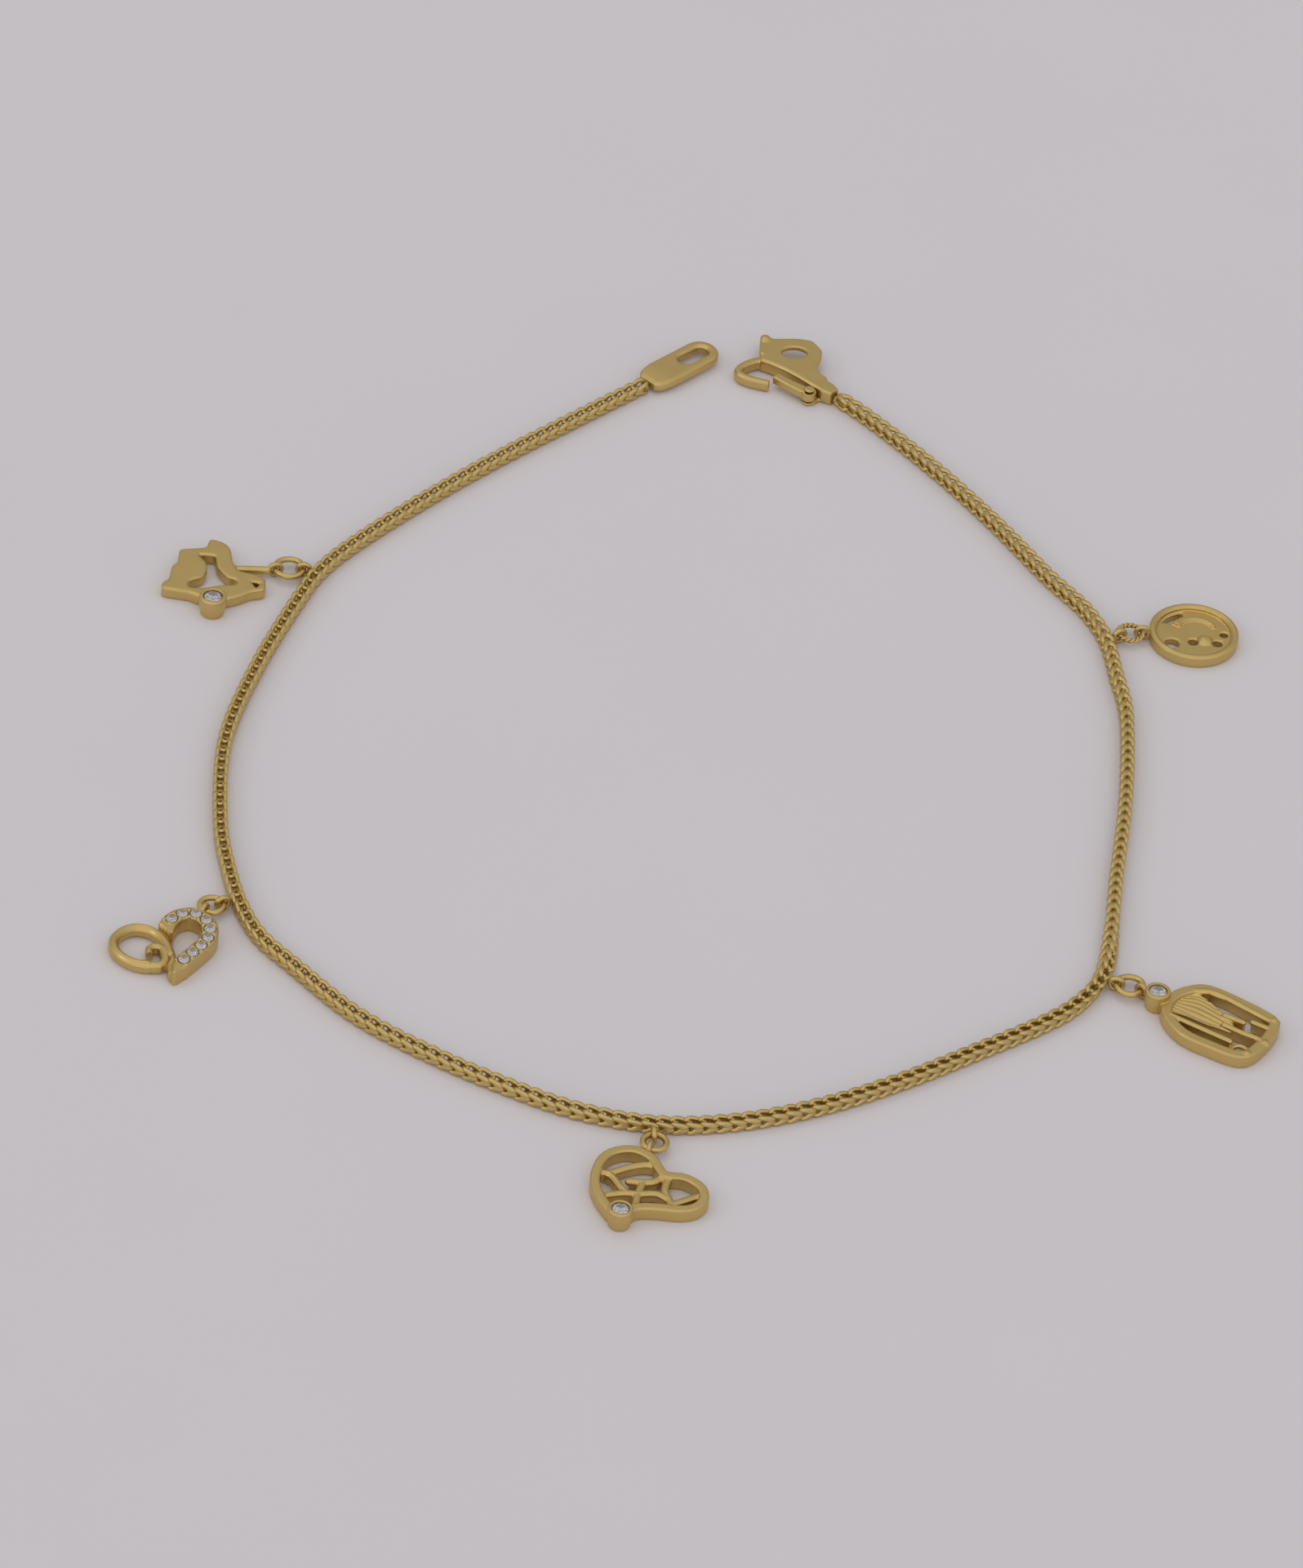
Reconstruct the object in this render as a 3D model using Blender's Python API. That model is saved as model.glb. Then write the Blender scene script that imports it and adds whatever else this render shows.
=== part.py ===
"""A fine chain anklet, laid open on a table, with five charms on jump rings.

Everything is in metres, +Z up, and rests on z = 0. +X points right and +Y away from the viewer.
"""

from math import atan2, ceil, cos, hypot, pi, radians, sin

import bmesh
import bpy
from mathutils import Matrix, Vector
from mathutils.geometry import tessellate_polygon

MM = 0.001

# The middle of the laid anklet, charms and clasp included, seen from the middle of its chain.
ORIGIN_X = 2.61 * MM
ORIGIN_Y = -1.62 * MM

# Chain
CHAIN_WIDTH = 1.15 * MM
CHAIN_POINT_GAP = 3.2 * MM

# Clearances between pieces that are not soldered to each other
SOLDER_GAP = 0.08 * MM
LINK_GAP = 0.12 * MM
STONE_GAP = 0.03 * MM
HINGE_GAP = 0.12 * MM

# Small rings
EYE_WIRE = 0.34 * MM
RING_WIRE = 0.42 * MM
RING_SEGMENTS = 14
RING_SIDES = 6
EYE_SEGMENTS = 12
EYE_SIDES = 5

# Flat metal, and the small step between the faces of pieces that cross each other
EDGE = 0.1 * MM
STEP = 0.03 * MM

# A cut stone's depth below its girdle, girdle, crown and table, as shares of its diameter
STONE_PAVILION = 0.42
STONE_GIRDLE = 0.04
STONE_CROWN = 0.17
STONE_TABLE = 0.58

# A cup setting's wall and the stone's depth in it, as shares of the stone, and its foot as a share of the cup
CUP_WALL = 0.22
CUP_LIP = 0.12
CUP_FOOT = 0.85

# Charm rings
LEAF_RING = 2.7 * MM
CURL_RING = 2.2 * MM
HEART_RING = 2.2 * MM
TAG_RING = 2.5 * MM
DISC_RING = 2.4 * MM

# Leaf charm
LEAF_WIDTH = 8.3 * MM
LEAF_THICK = 1.0 * MM
LEAF_STONE = 1.5 * MM
LEAF_CUP_HEIGHT = 1.75 * MM

# Curl heart charm
CURL_WIDTH = 8.0 * MM
CURL_WIRE_WIDTH = 0.78 * MM
CURL_WIRE_HEIGHT = 1.05 * MM
SET_BAND_WIDTH = 1.3 * MM
SET_BAND_HEIGHT = 1.4 * MM
SET_STONE = 0.95 * MM
SET_PITCH = 1.13 * SET_STONE

# Pierced heart charm
HEART_WIDTH = 8.4 * MM
HEART_RIM_WIDTH = 0.75 * MM
HEART_THICK = 1.15 * MM
HEART_RIB_WIDTH = 0.52 * MM
HEART_RIB_HEIGHT = 0.85 * MM
HEART_STONE = 1.3 * MM
HEART_CUP_HEIGHT = 1.7 * MM

# Tag charm
TAG_LENGTH = 8.2 * MM
TAG_THICK = 1.15 * MM
TAG_RIM_WIDTH = 0.85 * MM
TAG_BAR_WIDTH = 0.48 * MM
TAG_BAR_HEIGHT = 1.0 * MM
TAG_LOOP = 1.3 * MM
TAG_LEAF_THICK = 0.9 * MM
TAG_STONE = 1.35 * MM
TAG_CUP_HEIGHT = 1.7 * MM

# Disc charm
DISC_DIAMETER = 7.2 * MM
DISC_PLATE = 0.65 * MM
DISC_RIM_WIDTH = 0.6 * MM
DISC_RIM_HEIGHT = 1.05 * MM
DISC_BOSS_HEIGHT = 1.0 * MM
DISC_SWEEP_HEIGHT = 0.88 * MM

# Catch loop
CATCH_LENGTH = 7.7 * MM
CATCH_WIDTH = 3.0 * MM
CATCH_LIFT = 0.22 * MM
CATCH_THICK = 0.93 * MM
CATCH_SLOT_LENGTH = 3.0 * MM
CATCH_SLOT_WIDTH = 1.3 * MM

# Clasp
CLASP_LENGTH = 9.2 * MM
CLASP_THICK = 1.35 * MM
CLASP_SPINE_WIDTH = 1.5 * MM
CLASP_HOOK_WIDTH = 0.62 * MM
CLASP_HOOK_HEIGHT = 1.02 * MM
CLASP_TAB_THICK = 0.5 * MM
CLASP_KNOB = 0.9 * MM
CLASP_PIN = 0.5 * MM
LEVER_THICK = 0.78 * MM
LEVER_WIDTH = 0.9 * MM
LEVER_EYE_WALL = 0.24 * MM
LUG_THICK = 0.3 * MM
PIN_HEAD_THICK = 0.13 * MM

# Where the chain lies: its centre line in millimetres from its own middle, from the catch round to the clasp.
CHAIN_ROUTE = (
    (-5.6, 46.1), (-11.2, 40.1), (-16.7, 34.1), (-22.0, 27.8), (-27.0, 21.2), (-29.6, 17.0),
    (-31.0, 13.1), (-33.5, 3.8), (-35.1, -5.9), (-34.5, -15.9), (-33.1, -22.3), (-31.8, -26.1),
    (-30.1, -29.2), (-27.3, -32.1), (-22.2, -37.0), (-16.5, -40.5), (-10.6, -43.3), (-4.7, -45.4),
    (1.4, -46.0), (7.4, -44.7), (13.3, -42.0), (19.0, -38.3), (24.5, -34.0), (29.4, -30.0),
    (31.9, -27.4), (33.6, -24.3), (34.3, -20.6), (34.6, -11.8), (35.1, -1.7), (34.9, 8.5),
    (33.9, 13.9), (33.0, 18.2), (31.2, 21.9), (28.2, 25.6), (23.3, 32.5), (18.1, 38.9), (12.5, 44.8),
    (10.0, 46.9),
)


def clear_scene():
    """Takes every object out of the scene."""
    for old in list(bpy.data.objects):
        bpy.data.objects.remove(old, do_unlink=True)


def metal(name, colour, roughness, metallic=1.0):
    """A Principled material."""
    made = bpy.data.materials.new(name)
    made.use_nodes = True
    shader = made.node_tree.nodes["Principled BSDF"]
    shader.inputs["Base Color"].default_value = (*colour, 1.0)
    shader.inputs["Roughness"].default_value = roughness
    shader.inputs["Metallic"].default_value = metallic
    return made


def add_object(name, bm, material, smooth_angle=40):
    """One object from a bmesh, its faces turned outwards."""
    bmesh.ops.recalc_face_normals(bm, faces=bm.faces)
    mesh = bpy.data.meshes.new(name)
    bm.to_mesh(mesh)
    bm.free()
    mesh.materials.append(material)
    mesh.shade_smooth()
    mesh.set_sharp_from_angle(angle=radians(smooth_angle))
    made = bpy.data.objects.new(name, mesh)
    bpy.context.scene.collection.objects.link(made)
    return made


def combine(base, tools, operation):
    """Joins tools to base, or cuts them from it, and removes them."""
    for tool in tools:
        change = base.modifiers.new(operation.title(), "BOOLEAN")
        change.operation = operation
        change.object = tool
        change.solver = "EXACT"
    bpy.context.view_layer.update()
    seen = bpy.context.evaluated_depsgraph_get()
    mesh = bpy.data.meshes.new_from_object(base.evaluated_get(seen))
    base.modifiers.clear()
    base.data = mesh
    for tool in tools:
        bpy.data.objects.remove(tool, do_unlink=True)
    return base


def place(piece, spot, heading=0.0, height=0.0):
    """Puts a piece at a spot of the table, turned by heading about Z."""
    piece.matrix_world = (
        Matrix.Translation((spot[0], spot[1], height)) @ Matrix.Rotation(heading, 4, "Z")
    )
    return piece


def toward(spot, heading, distance):
    """The spot that lies this far off in this direction."""
    return (spot[0] + distance * cos(heading), spot[1] + distance * sin(heading))


def along(points, share):
    """The place at a share of an evenly divided path."""
    reach = share * (len(points) - 1)
    k = min(int(reach), len(points) - 2)
    return points[k].lerp(points[k + 1], reach - k)


def smooth_route(points, gap, closed=False):
    """Evenly spaced points along a smooth curve through the given ones."""
    count = len(points)
    spans = count if closed else count - 1
    fine = []
    for i in range(spans):
        if closed:
            a, b, c, d = (Vector(points[(i + k) % count]) for k in (-1, 0, 1, 2))
        else:
            a, b, c, d = (Vector(points[min(max(i + k, 0), count - 1)]) for k in (-1, 0, 1, 2))
        for k in range(16):
            t = k / 16
            fine.append(
                0.5 * (2 * b + (c - a) * t + (2 * a - 5 * b + 4 * c - d) * t**2
                       + (3 * b - a - 3 * c + d) * t**3)
            )
    fine.append(Vector(points[0] if closed else points[-1]))
    reach = [0.0]
    for a, b in zip(fine, fine[1:]):
        reach.append(reach[-1] + (b - a).length)
    steps = max(2, ceil(reach[-1] / gap))
    made = []
    k = 0
    for i in range(steps + (0 if closed else 1)):
        aim = reach[-1] * i / steps
        while k < len(fine) - 2 and reach[k + 1] < aim:
            k += 1
        share = (aim - reach[k]) / (reach[k + 1] - reach[k])
        made.append(fine[k].lerp(fine[k + 1], min(1.0, share)))
    return made


def scaled(shares, size):
    """A table of shares as real lengths."""
    return [(x * size, y * size) for x, y in shares]


def arc(middle, radius, start, end, steps):
    """Points along an arc, its angles in degrees."""
    return [
        toward(middle, radians(start + (end - start) * i / steps), radius) for i in range(steps + 1)
    ]


def rounded(points, radius, steps=2):
    """A closed outline with its corners rounded."""
    made = []
    for i, point in enumerate(points):
        corner = Vector(point)
        before = Vector(points[i - 1]) - corner
        after = Vector(points[(i + 1) % len(points)]) - corner
        cut = min(radius, 0.4 * before.length, 0.4 * after.length)
        first = corner + before.normalized() * cut
        last = corner + after.normalized() * cut
        for k in range(steps + 1):
            t = k / steps
            made.append(tuple((1 - t) ** 2 * first + 2 * t * (1 - t) * corner + t**2 * last))
    return made


def area(points):
    """The signed area of an outline, positive when it runs anticlockwise."""
    return 0.5 * sum(
        a[0] * b[1] - b[0] * a[1] for a, b in zip(points, [*points[1:], points[0]])
    )


def inset(points, distance):
    """An outline moved to its left, into the metal, by a distance."""
    made = []
    for i, point in enumerate(points):
        here = Vector(point)
        back = (here - Vector(points[i - 1])).normalized()
        on = (Vector(points[(i + 1) % len(points)]) - here).normalized()
        left = Vector((-back.y - on.y, back.x + on.x))
        made.append(here + left * distance / max(0.6, 1 + back.dot(on)))
    return made


def plate(name, outline, holes, bottom, top, material, edge=EDGE):
    """A flat pierced plate with eased edges."""
    loops = []
    for number, points in enumerate([outline, *holes]):
        wanted = 1 if number == 0 else -1
        loops.append(points if area(points) * wanted > 0 else points[::-1])
    bm = bmesh.new()
    levels = ((edge, bottom), (0.0, bottom + edge), (0.0, top - edge), (edge, top))
    caps = {0: [], 3: []}
    for points in loops:
        rows = []
        for level, (step, z) in enumerate(levels):
            row = [bm.verts.new((p[0], p[1], z)) for p in inset(points, step)]
            rows.append(row)
            if level in caps:
                caps[level].append(row)
        for low, high in zip(rows, rows[1:]):
            for i in range(len(low)):
                j = (i + 1) % len(low)
                bm.faces.new((low[i], low[j], high[j], high[i]))
    for rows in caps.values():
        flat = [vert for row in rows for vert in row]
        for triangle in tessellate_polygon([[vert.co for vert in row] for row in rows]):
            bm.faces.new([flat[i] for i in triangle])
    return add_object(name, bm, material)


def band(name, path, width, bottom, top, material, closed=False, edge=EDGE, end_width=None):
    """A flat wire along a path, of one width or tapering to end_width."""
    bm = bmesh.new()
    rows = []
    count = len(path)
    for i, point in enumerate(path):
        here = Vector(point[:2])
        before = Vector(path[i - 1][:2]) if i or closed else here
        after = Vector(path[(i + 1) % count][:2]) if i < count - 1 or closed else here
        on = (after - before).normalized()
        side = Vector((-on.y, on.x))
        half = width / 2
        if end_width:
            half += (end_width - width) / 2 * i / (count - 1)
        section = ((half, bottom), (half, top), (-half, top), (-half, bottom))
        if edge:
            section = (
                (half - edge, bottom), (half, bottom + edge), (half, top - edge), (half - edge, top),
                (edge - half, top), (-half, top - edge), (-half, bottom + edge), (edge - half, bottom),
            )
        rows.append([bm.verts.new((*(here + side * s), z)) for s, z in section])
    for i in range(count if closed else count - 1):
        low = rows[i]
        high = rows[(i + 1) % count]
        for k in range(len(low)):
            m = (k + 1) % len(low)
            bm.faces.new((low[k], low[m], high[m], high[k]))
    if not closed:
        bm.faces.new(rows[0])
        bm.faces.new(rows[-1][::-1])
    return add_object(name, bm, material)


def turned(name, profile, segments, material, smooth_angle=40):
    """A solid of revolution about Z. The profile runs from the axis, up and back to the axis."""
    bm = bmesh.new()
    rows = []
    for radius, z in profile:
        if radius == 0:
            rows.append([bm.verts.new((0, 0, z))] * segments)
        else:
            rows.append([
                bm.verts.new((*toward((0, 0), 2 * pi * i / segments, radius), z))
                for i in range(segments)
            ])
    for low, high in zip(rows, rows[1:]):
        for i in range(segments):
            j = (i + 1) % segments
            corners = []
            for vert in (low[i], low[j], high[j], high[i]):
                if vert not in corners:
                    corners.append(vert)
            bm.faces.new(corners)
    return add_object(name, bm, material, smooth_angle)


def ring(name, radius, wire, material, segments=RING_SEGMENTS, sides=RING_SIDES, upright=False):
    """A round wire ring about Z, or standing upright along X."""
    bm = bmesh.new()
    rows = []
    for i in range(segments):
        turn = 2 * pi * i / segments
        row = []
        for k in range(sides):
            tilt = 2 * pi * (k + 0.5) / sides
            out = radius + wire / 2 * cos(tilt)
            lift = wire / 2 * sin(tilt)
            if upright:
                row.append(bm.verts.new((out * cos(turn), lift, out * sin(turn))))
            else:
                row.append(bm.verts.new((out * cos(turn), out * sin(turn), lift)))
        rows.append(row)
    for i in range(segments):
        low = rows[i]
        high = rows[(i + 1) % segments]
        for k in range(sides):
            m = (k + 1) % sides
            bm.faces.new((low[k], low[m], high[m], high[k]))
    return add_object(name, bm, material, 80)


def brilliant(name, diameter, material):
    """A cut stone with an eight-sided table and the middle of its girdle at z = 0."""
    half = diameter / 2
    profile = (
        (0, -STONE_PAVILION * diameter), (half, -STONE_GIRDLE * half), (half, STONE_GIRDLE * half),
        (STONE_TABLE * half, STONE_CROWN * diameter), (0, STONE_CROWN * diameter),
    )
    return turned(name, profile, 8, material, 5)


def seat_profile(stone, girdle):
    """The hollow under a stone's girdle, from the axis out."""
    seat = stone / 2 + STONE_GAP
    return (
        (0, girdle - STONE_PAVILION * stone - 3 * STONE_GAP),
        (seat, girdle - STONE_GIRDLE * stone / 2 - STONE_GAP),
    )


def cup(stone, height, middle, material):
    """A round setting that tapers to its foot, hollowed for a stone, and the stone's level in it."""
    seat = stone / 2 + STONE_GAP
    wall = CUP_WALL * stone
    girdle = height - CUP_LIP * stone
    foot, hollow = seat_profile(stone, girdle)
    profile = (
        (0, 0), (CUP_FOOT * (seat + wall), 0), (seat + wall, 0.55 * height),
        (seat + wall, height - 0.3 * wall), (seat + 0.7 * wall, height), (seat, height), hollow, foot,
    )
    setting = turned("setting", profile, 16, material)
    setting.location = (*middle, 0)
    return setting, girdle


def well(stone, middle, top, material):
    """The room that a setting takes out of the metal round it."""
    reach = (0.5 + CUP_WALL / 2) * stone + STONE_GAP
    made = turned("well", ((0, -EDGE), (reach, -EDGE), (reach, top), (0, top)), 12, material)
    made.location = (*middle, 0)
    return made


def seat_cutter(stone, girdle, top, material):
    """The hollow that a stone set flush in a band sits in."""
    foot, hollow = seat_profile(stone, girdle)
    return turned(
        "seat_cutter", (foot, hollow, (hollow[0], top + stone), (0, top + stone)), 12, material,
    )


EYE_RADIUS = (RING_WIRE + EYE_WIRE) / 2 + LINK_GAP
EYE_OUTER = EYE_RADIUS + EYE_WIRE / 2
RING_LEVEL = EYE_OUTER


class Hanger:
    """The eye on the chain and the jump ring in it, and the place where a charm's bail hangs."""

    def __init__(self, name, chain, gold, station, heading, ring_size, turn, swing):
        heading = radians(heading)
        held = along(chain, station)
        self.eye_spot = toward(held, heading, CHAIN_WIDTH / 2 + SOLDER_GAP + EYE_OUTER)
        eye = ring(name + "_eye", EYE_RADIUS, EYE_WIRE, gold, EYE_SEGMENTS, EYE_SIDES, upright=True)
        place(eye, self.eye_spot, heading, EYE_OUTER)
        radius = (ring_size - RING_WIRE) / 2
        middle = toward(self.eye_spot, heading, radius)
        place(ring(name + "_ring", radius, RING_WIRE, gold), middle, heading, RING_LEVEL)
        self.spot = toward(middle, heading + radians(turn), radius)
        self.heading = heading + radians(turn + swing)


def bail(charm_root, gold):
    """An upright loop at the origin with a short neck that runs along +X into the charm."""
    loop = ring("bail", EYE_RADIUS, EYE_WIRE, gold, EYE_SEGMENTS, EYE_SIDES, upright=True)
    loop.location.z = EYE_OUTER
    neck = band(
        "neck", [(EYE_RADIUS - EYE_WIRE / 4, 0), (charm_root, 0)], EYE_WIRE * 1.5,
        EYE_OUTER - EYE_WIRE, EYE_OUTER + EYE_WIRE / 4, gold, edge=0,
    )
    return [loop, neck]


def build_chain(gold):
    """The square chain as one round tube, and its points."""
    route = [(x * MM - ORIGIN_X, y * MM - ORIGIN_Y) for x, y in CHAIN_ROUTE]
    points = smooth_route(route, CHAIN_POINT_GAP)
    curve = bpy.data.curves.new("chain", "CURVE")
    curve.dimensions = "3D"
    curve.bevel_depth = CHAIN_WIDTH / 2
    curve.bevel_resolution = 2
    curve.use_fill_caps = True
    spline = curve.splines.new("POLY")
    spline.points.add(len(points) - 1)
    for knot, point in zip(spline.points, points):
        knot.co = (point.x, point.y, CHAIN_WIDTH / 2, 1.0)
    curve.materials.append(gold)
    chain = bpy.data.objects.new("chain", curve)
    bpy.context.scene.collection.objects.link(chain)
    return points


# Leaf outlines, as shares of the leaf's width from the middle of its bail
LEAF_OUTLINE = (
    (0.39, -0.12), (0.37, -0.31), (0.39, -0.4), (0.46, -0.47), (0.54, -0.51), (0.6, -0.38),
    (0.86, -0.39), (0.92, -0.19), (0.98, -0.15), (1.05, 0.05), (1.13, 0.1), (1.15, 0.19),
    (0.9, 0.29), (0.82, 0.36), (0.56, 0.44), (0.42, 0.41), (0.32, 0.36), (0.17, 0.35),
    (0.13, 0.18), (0.22, 0.09), (0.37, 0.01),
)
LEAF_HOLE = (
    (0.7, -0.28), (0.54, -0.24), (0.56, -0.08), (0.53, 0.02), (0.49, 0.11), (0.41, 0.16),
    (0.43, 0.23), (0.57, 0.21), (0.66, 0.22), (0.76, 0.24), (0.89, 0.2), (0.87, 0.11),
    (0.72, 0.07), (0.66, -0.03), (0.64, -0.15),
)
LEAF_NICK = ((0.25, 0.3), (0.2, 0.24), (0.28, 0.2))
LEAF_CUP_AT = (0.71, 0.48)
LEAF_STEM = ((0.08, 0.0), (0.22, -0.03), (0.43, -0.065))
LEAF_STEM_WIDTH = 0.07


def build_leaf(hanger, gold, stone):
    """The flat maple leaf with one stone at its rim."""
    outline = rounded(scaled(LEAF_OUTLINE, LEAF_WIDTH), 0.03 * LEAF_WIDTH)
    holes = [rounded(scaled(LEAF_HOLE, LEAF_WIDTH), 0.02 * LEAF_WIDTH, 1), scaled(LEAF_NICK, LEAF_WIDTH)]
    leaf = plate("leaf_charm", outline, holes, 0, LEAF_THICK, gold)
    stem = band(
        "stem", scaled(LEAF_STEM, LEAF_WIDTH), LEAF_STEM_WIDTH * LEAF_WIDTH,
        EYE_OUTER - 1.2 * EYE_WIRE, EYE_OUTER + EYE_WIRE / 2, gold,
    )
    middle = [share * LEAF_WIDTH for share in LEAF_CUP_AT]
    setting, girdle = cup(LEAF_STONE, LEAF_CUP_HEIGHT, middle, gold)
    combine(leaf, [well(LEAF_STONE, middle, 3 * LEAF_THICK, gold)], "DIFFERENCE")
    combine(leaf, [stem, setting, *bail(0.12 * LEAF_WIDTH, gold)], "UNION")
    place(leaf, hanger.spot, hanger.heading)
    gem = brilliant("leaf_stone", LEAF_STONE, stone)
    place(gem, spot_on(hanger, middle), hanger.heading, girdle)


def spot_on(hanger, local):
    """Where a place of a charm's own frame lies on the table."""
    out = toward(hanger.spot, hanger.heading, local[0])
    return toward(out, hanger.heading + pi / 2, local[1])


# Curl heart paths, as shares of its width from the middle of its bail
CURL_LOBE = (
    (0.99, 0.21), (0.85, 0.11), (0.74, 0.04), (0.64, -0.05), (0.56, -0.17), (0.53, -0.3),
    (0.57, -0.43), (0.68, -0.51), (0.82, -0.52), (0.94, -0.45), (1.01, -0.32), (1.02, -0.16),
    (0.98, -0.05),
)
CURL_END = (
    (1.0, -0.12), (0.94, 0.02), (0.85, 0.04), (0.76, -0.01), (0.7, -0.08), (0.72, -0.15),
    (0.78, -0.17), (0.84, -0.13),
)
SET_BAND = (
    (0.56, -0.12), (0.43, -0.16), (0.3, -0.15), (0.19, -0.07), (0.17, 0.05), (0.22, 0.16),
    (0.33, 0.24), (0.45, 0.27), (0.59, 0.26), (0.73, 0.24), (0.88, 0.22), (1.03, 0.235),
)
SET_STRETCH = (0.14, 0.89)
SET_TIP_FROM = 0.86


def build_curl_heart(hanger, gold, stone):
    """The heart of one curled plain wire and one band set with stones."""
    fine = 0.06 * CURL_WIDTH
    lobe = smooth_route(scaled(CURL_LOBE, CURL_WIDTH), fine)
    end = smooth_route(scaled(CURL_END, CURL_WIDTH), 0.7 * fine)
    row = smooth_route(scaled(SET_BAND, CURL_WIDTH), 0.9 * fine)
    last = round(SET_TIP_FROM * len(row))
    charm = band("curl_heart_charm", row[:last + 1], SET_BAND_WIDTH, 0, SET_BAND_HEIGHT, gold)
    tip = band(
        "tip", row[last - 1:], 0.95 * SET_BAND_WIDTH, STEP, SET_BAND_HEIGHT - STEP, gold,
        end_width=0.25 * SET_BAND_WIDTH,
    )
    plain = band("plain", lobe, CURL_WIRE_WIDTH, 0, CURL_WIRE_HEIGHT, gold, edge=2 * EDGE)
    curl = band(
        "curl", end, CURL_WIRE_WIDTH, STEP, 0.93 * CURL_WIRE_HEIGHT, gold, edge=2 * EDGE,
        end_width=0.7 * CURL_WIRE_WIDTH,
    )
    combine(charm, [tip, plain, curl, *bail(0.11 * CURL_WIDTH, gold)], "UNION")
    girdle = SET_BAND_HEIGHT - STONE_GIRDLE * SET_STONE
    length = sum((b - a).length for a, b in zip(row, row[1:]))
    count = int(SET_STRETCH[1] * length / SET_PITCH - SET_STRETCH[0] * length / SET_PITCH) + 1
    middles = [along(row, SET_STRETCH[0] + k * SET_PITCH / length) for k in range(count)]
    cutters = []
    for middle in middles:
        cutter = seat_cutter(SET_STONE, girdle, SET_BAND_HEIGHT, gold)
        cutter.location = (*middle, 0)
        cutters.append(cutter)
    combine(charm, cutters, "DIFFERENCE")
    place(charm, hanger.spot, hanger.heading)
    for number, middle in enumerate(middles, 1):
        gem = brilliant(f"curl_stone_{number}", SET_STONE, stone)
        place(gem, spot_on(hanger, middle), hanger.heading, girdle)


# Pierced heart outline and ribs, as shares of its width from the middle of its bail
HEART_OUTLINE = (
    (0.06, -0.02), (0.05, -0.12), (0.08, -0.22), (0.17, -0.33), (0.3, -0.39), (0.47, -0.4),
    (0.64, -0.37), (0.79, -0.29), (0.92, -0.18), (1.01, -0.06), (0.98, 0.05), (0.86, 0.14),
    (0.8, 0.31), (0.76, 0.49), (0.68, 0.62), (0.56, 0.68), (0.44, 0.67), (0.33, 0.6), (0.27, 0.49),
    (0.25, 0.37), (0.28, 0.24), (0.2, 0.17), (0.11, 0.09),
)
HEART_RIBS = (
    ((0.47, -0.36), (0.47, -0.23), (0.6, -0.09), (0.65, -0.02)),
    ((0.79, -0.25), (0.69, -0.11), (0.65, -0.02), (0.63, 0.07)),
    ((0.46, -0.25), (0.33, -0.12), (0.25, -0.01), (0.22, 0.07), (0.25, 0.18)),
    ((0.49, -0.05), (0.44, 0.13), (0.36, 0.2), (0.29, 0.26)),
    ((0.46, 0.07), (0.64, 0.07), (0.86, 0.1)),
    ((0.63, 0.07), (0.57, 0.22), (0.61, 0.35)),
    ((0.34, 0.27), (0.5, 0.28), (0.64, 0.37), (0.75, 0.4)),
    ((0.67, 0.38), (0.58, 0.47), (0.46, 0.6)),
)
HEART_CUP_AT = (0.97, 0.0)


def build_pierced_heart(hanger, gold, stone):
    """The heart of curved ribs in a broad rim, with a stone at its tip."""
    outline = smooth_route(scaled(HEART_OUTLINE, HEART_WIDTH), 0.07 * HEART_WIDTH, closed=True)
    outline = [tuple(point) for point in outline]
    if area(outline) < 0:
        outline = outline[::-1]
    hole = inset(outline, HEART_RIM_WIDTH)
    charm = plate("pierced_heart_charm", outline, [hole], 0, HEART_THICK, gold)
    ribs = []
    for number, path in enumerate(HEART_RIBS):
        curve = smooth_route(scaled(path, HEART_WIDTH), 0.09 * HEART_WIDTH)
        height = HEART_RIB_HEIGHT + STEP / 2 * number
        ribs.append(
            band(f"rib_{number}", curve, HEART_RIB_WIDTH, STEP * (number + 1), height, gold, edge=0)
        )
    combine(charm, ribs, "UNION")
    middle = [share * HEART_WIDTH for share in HEART_CUP_AT]
    setting, girdle = cup(HEART_STONE, HEART_CUP_HEIGHT, middle, gold)
    combine(charm, [well(HEART_STONE, middle, 3 * HEART_THICK, gold)], "DIFFERENCE")
    combine(charm, [setting, *bail(0.08 * HEART_WIDTH, gold)], "UNION")
    place(charm, hanger.spot, hanger.heading)
    gem = brilliant("pierced_heart_stone", HEART_STONE, stone)
    place(gem, spot_on(hanger, middle), hanger.heading, girdle)


# Tag outline, leaf and bars, as shares of its length from the middle of its bail
TAG_OUTLINE = (
    (0.27, -0.05), (0.23, 0.15), (0.29, 0.35), (0.42, 0.49), (0.75, 0.56), (1.13, 0.59), (1.24, 0.5),
    (1.31, 0.28), (1.33, 0.0), (1.24, -0.14), (0.98, -0.22), (0.68, -0.27), (0.41, -0.19),
)
TAG_LEAF = (
    (0.3, 0.0), (0.3, 0.18), (0.36, 0.32), (0.48, 0.35), (0.62, 0.32), (0.82, 0.28), (0.98, 0.2),
    (0.98, 0.13), (0.87, 0.1), (0.68, 0.04), (0.54, 0.02), (0.38, -0.05),
)
TAG_BARS = (
    ((0.37, 0.33), (0.47, 0.42), (0.65, 0.465), (1.12, 0.505)),
    ((0.42, -0.11), (0.75, -0.05), (1.06, 0.01)),
    ((0.86, 0.15), (1.04, 0.18), (1.18, 0.22), (1.29, 0.22)),
    ((0.78, 0.26), (0.98, 0.31)),
    ((1.02, 0.37), (1.2, 0.41)),
)
TAG_LOOP_AT = (1.16, 0.01)
TAG_CUP_AT = (0.18, 0.0)


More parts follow.
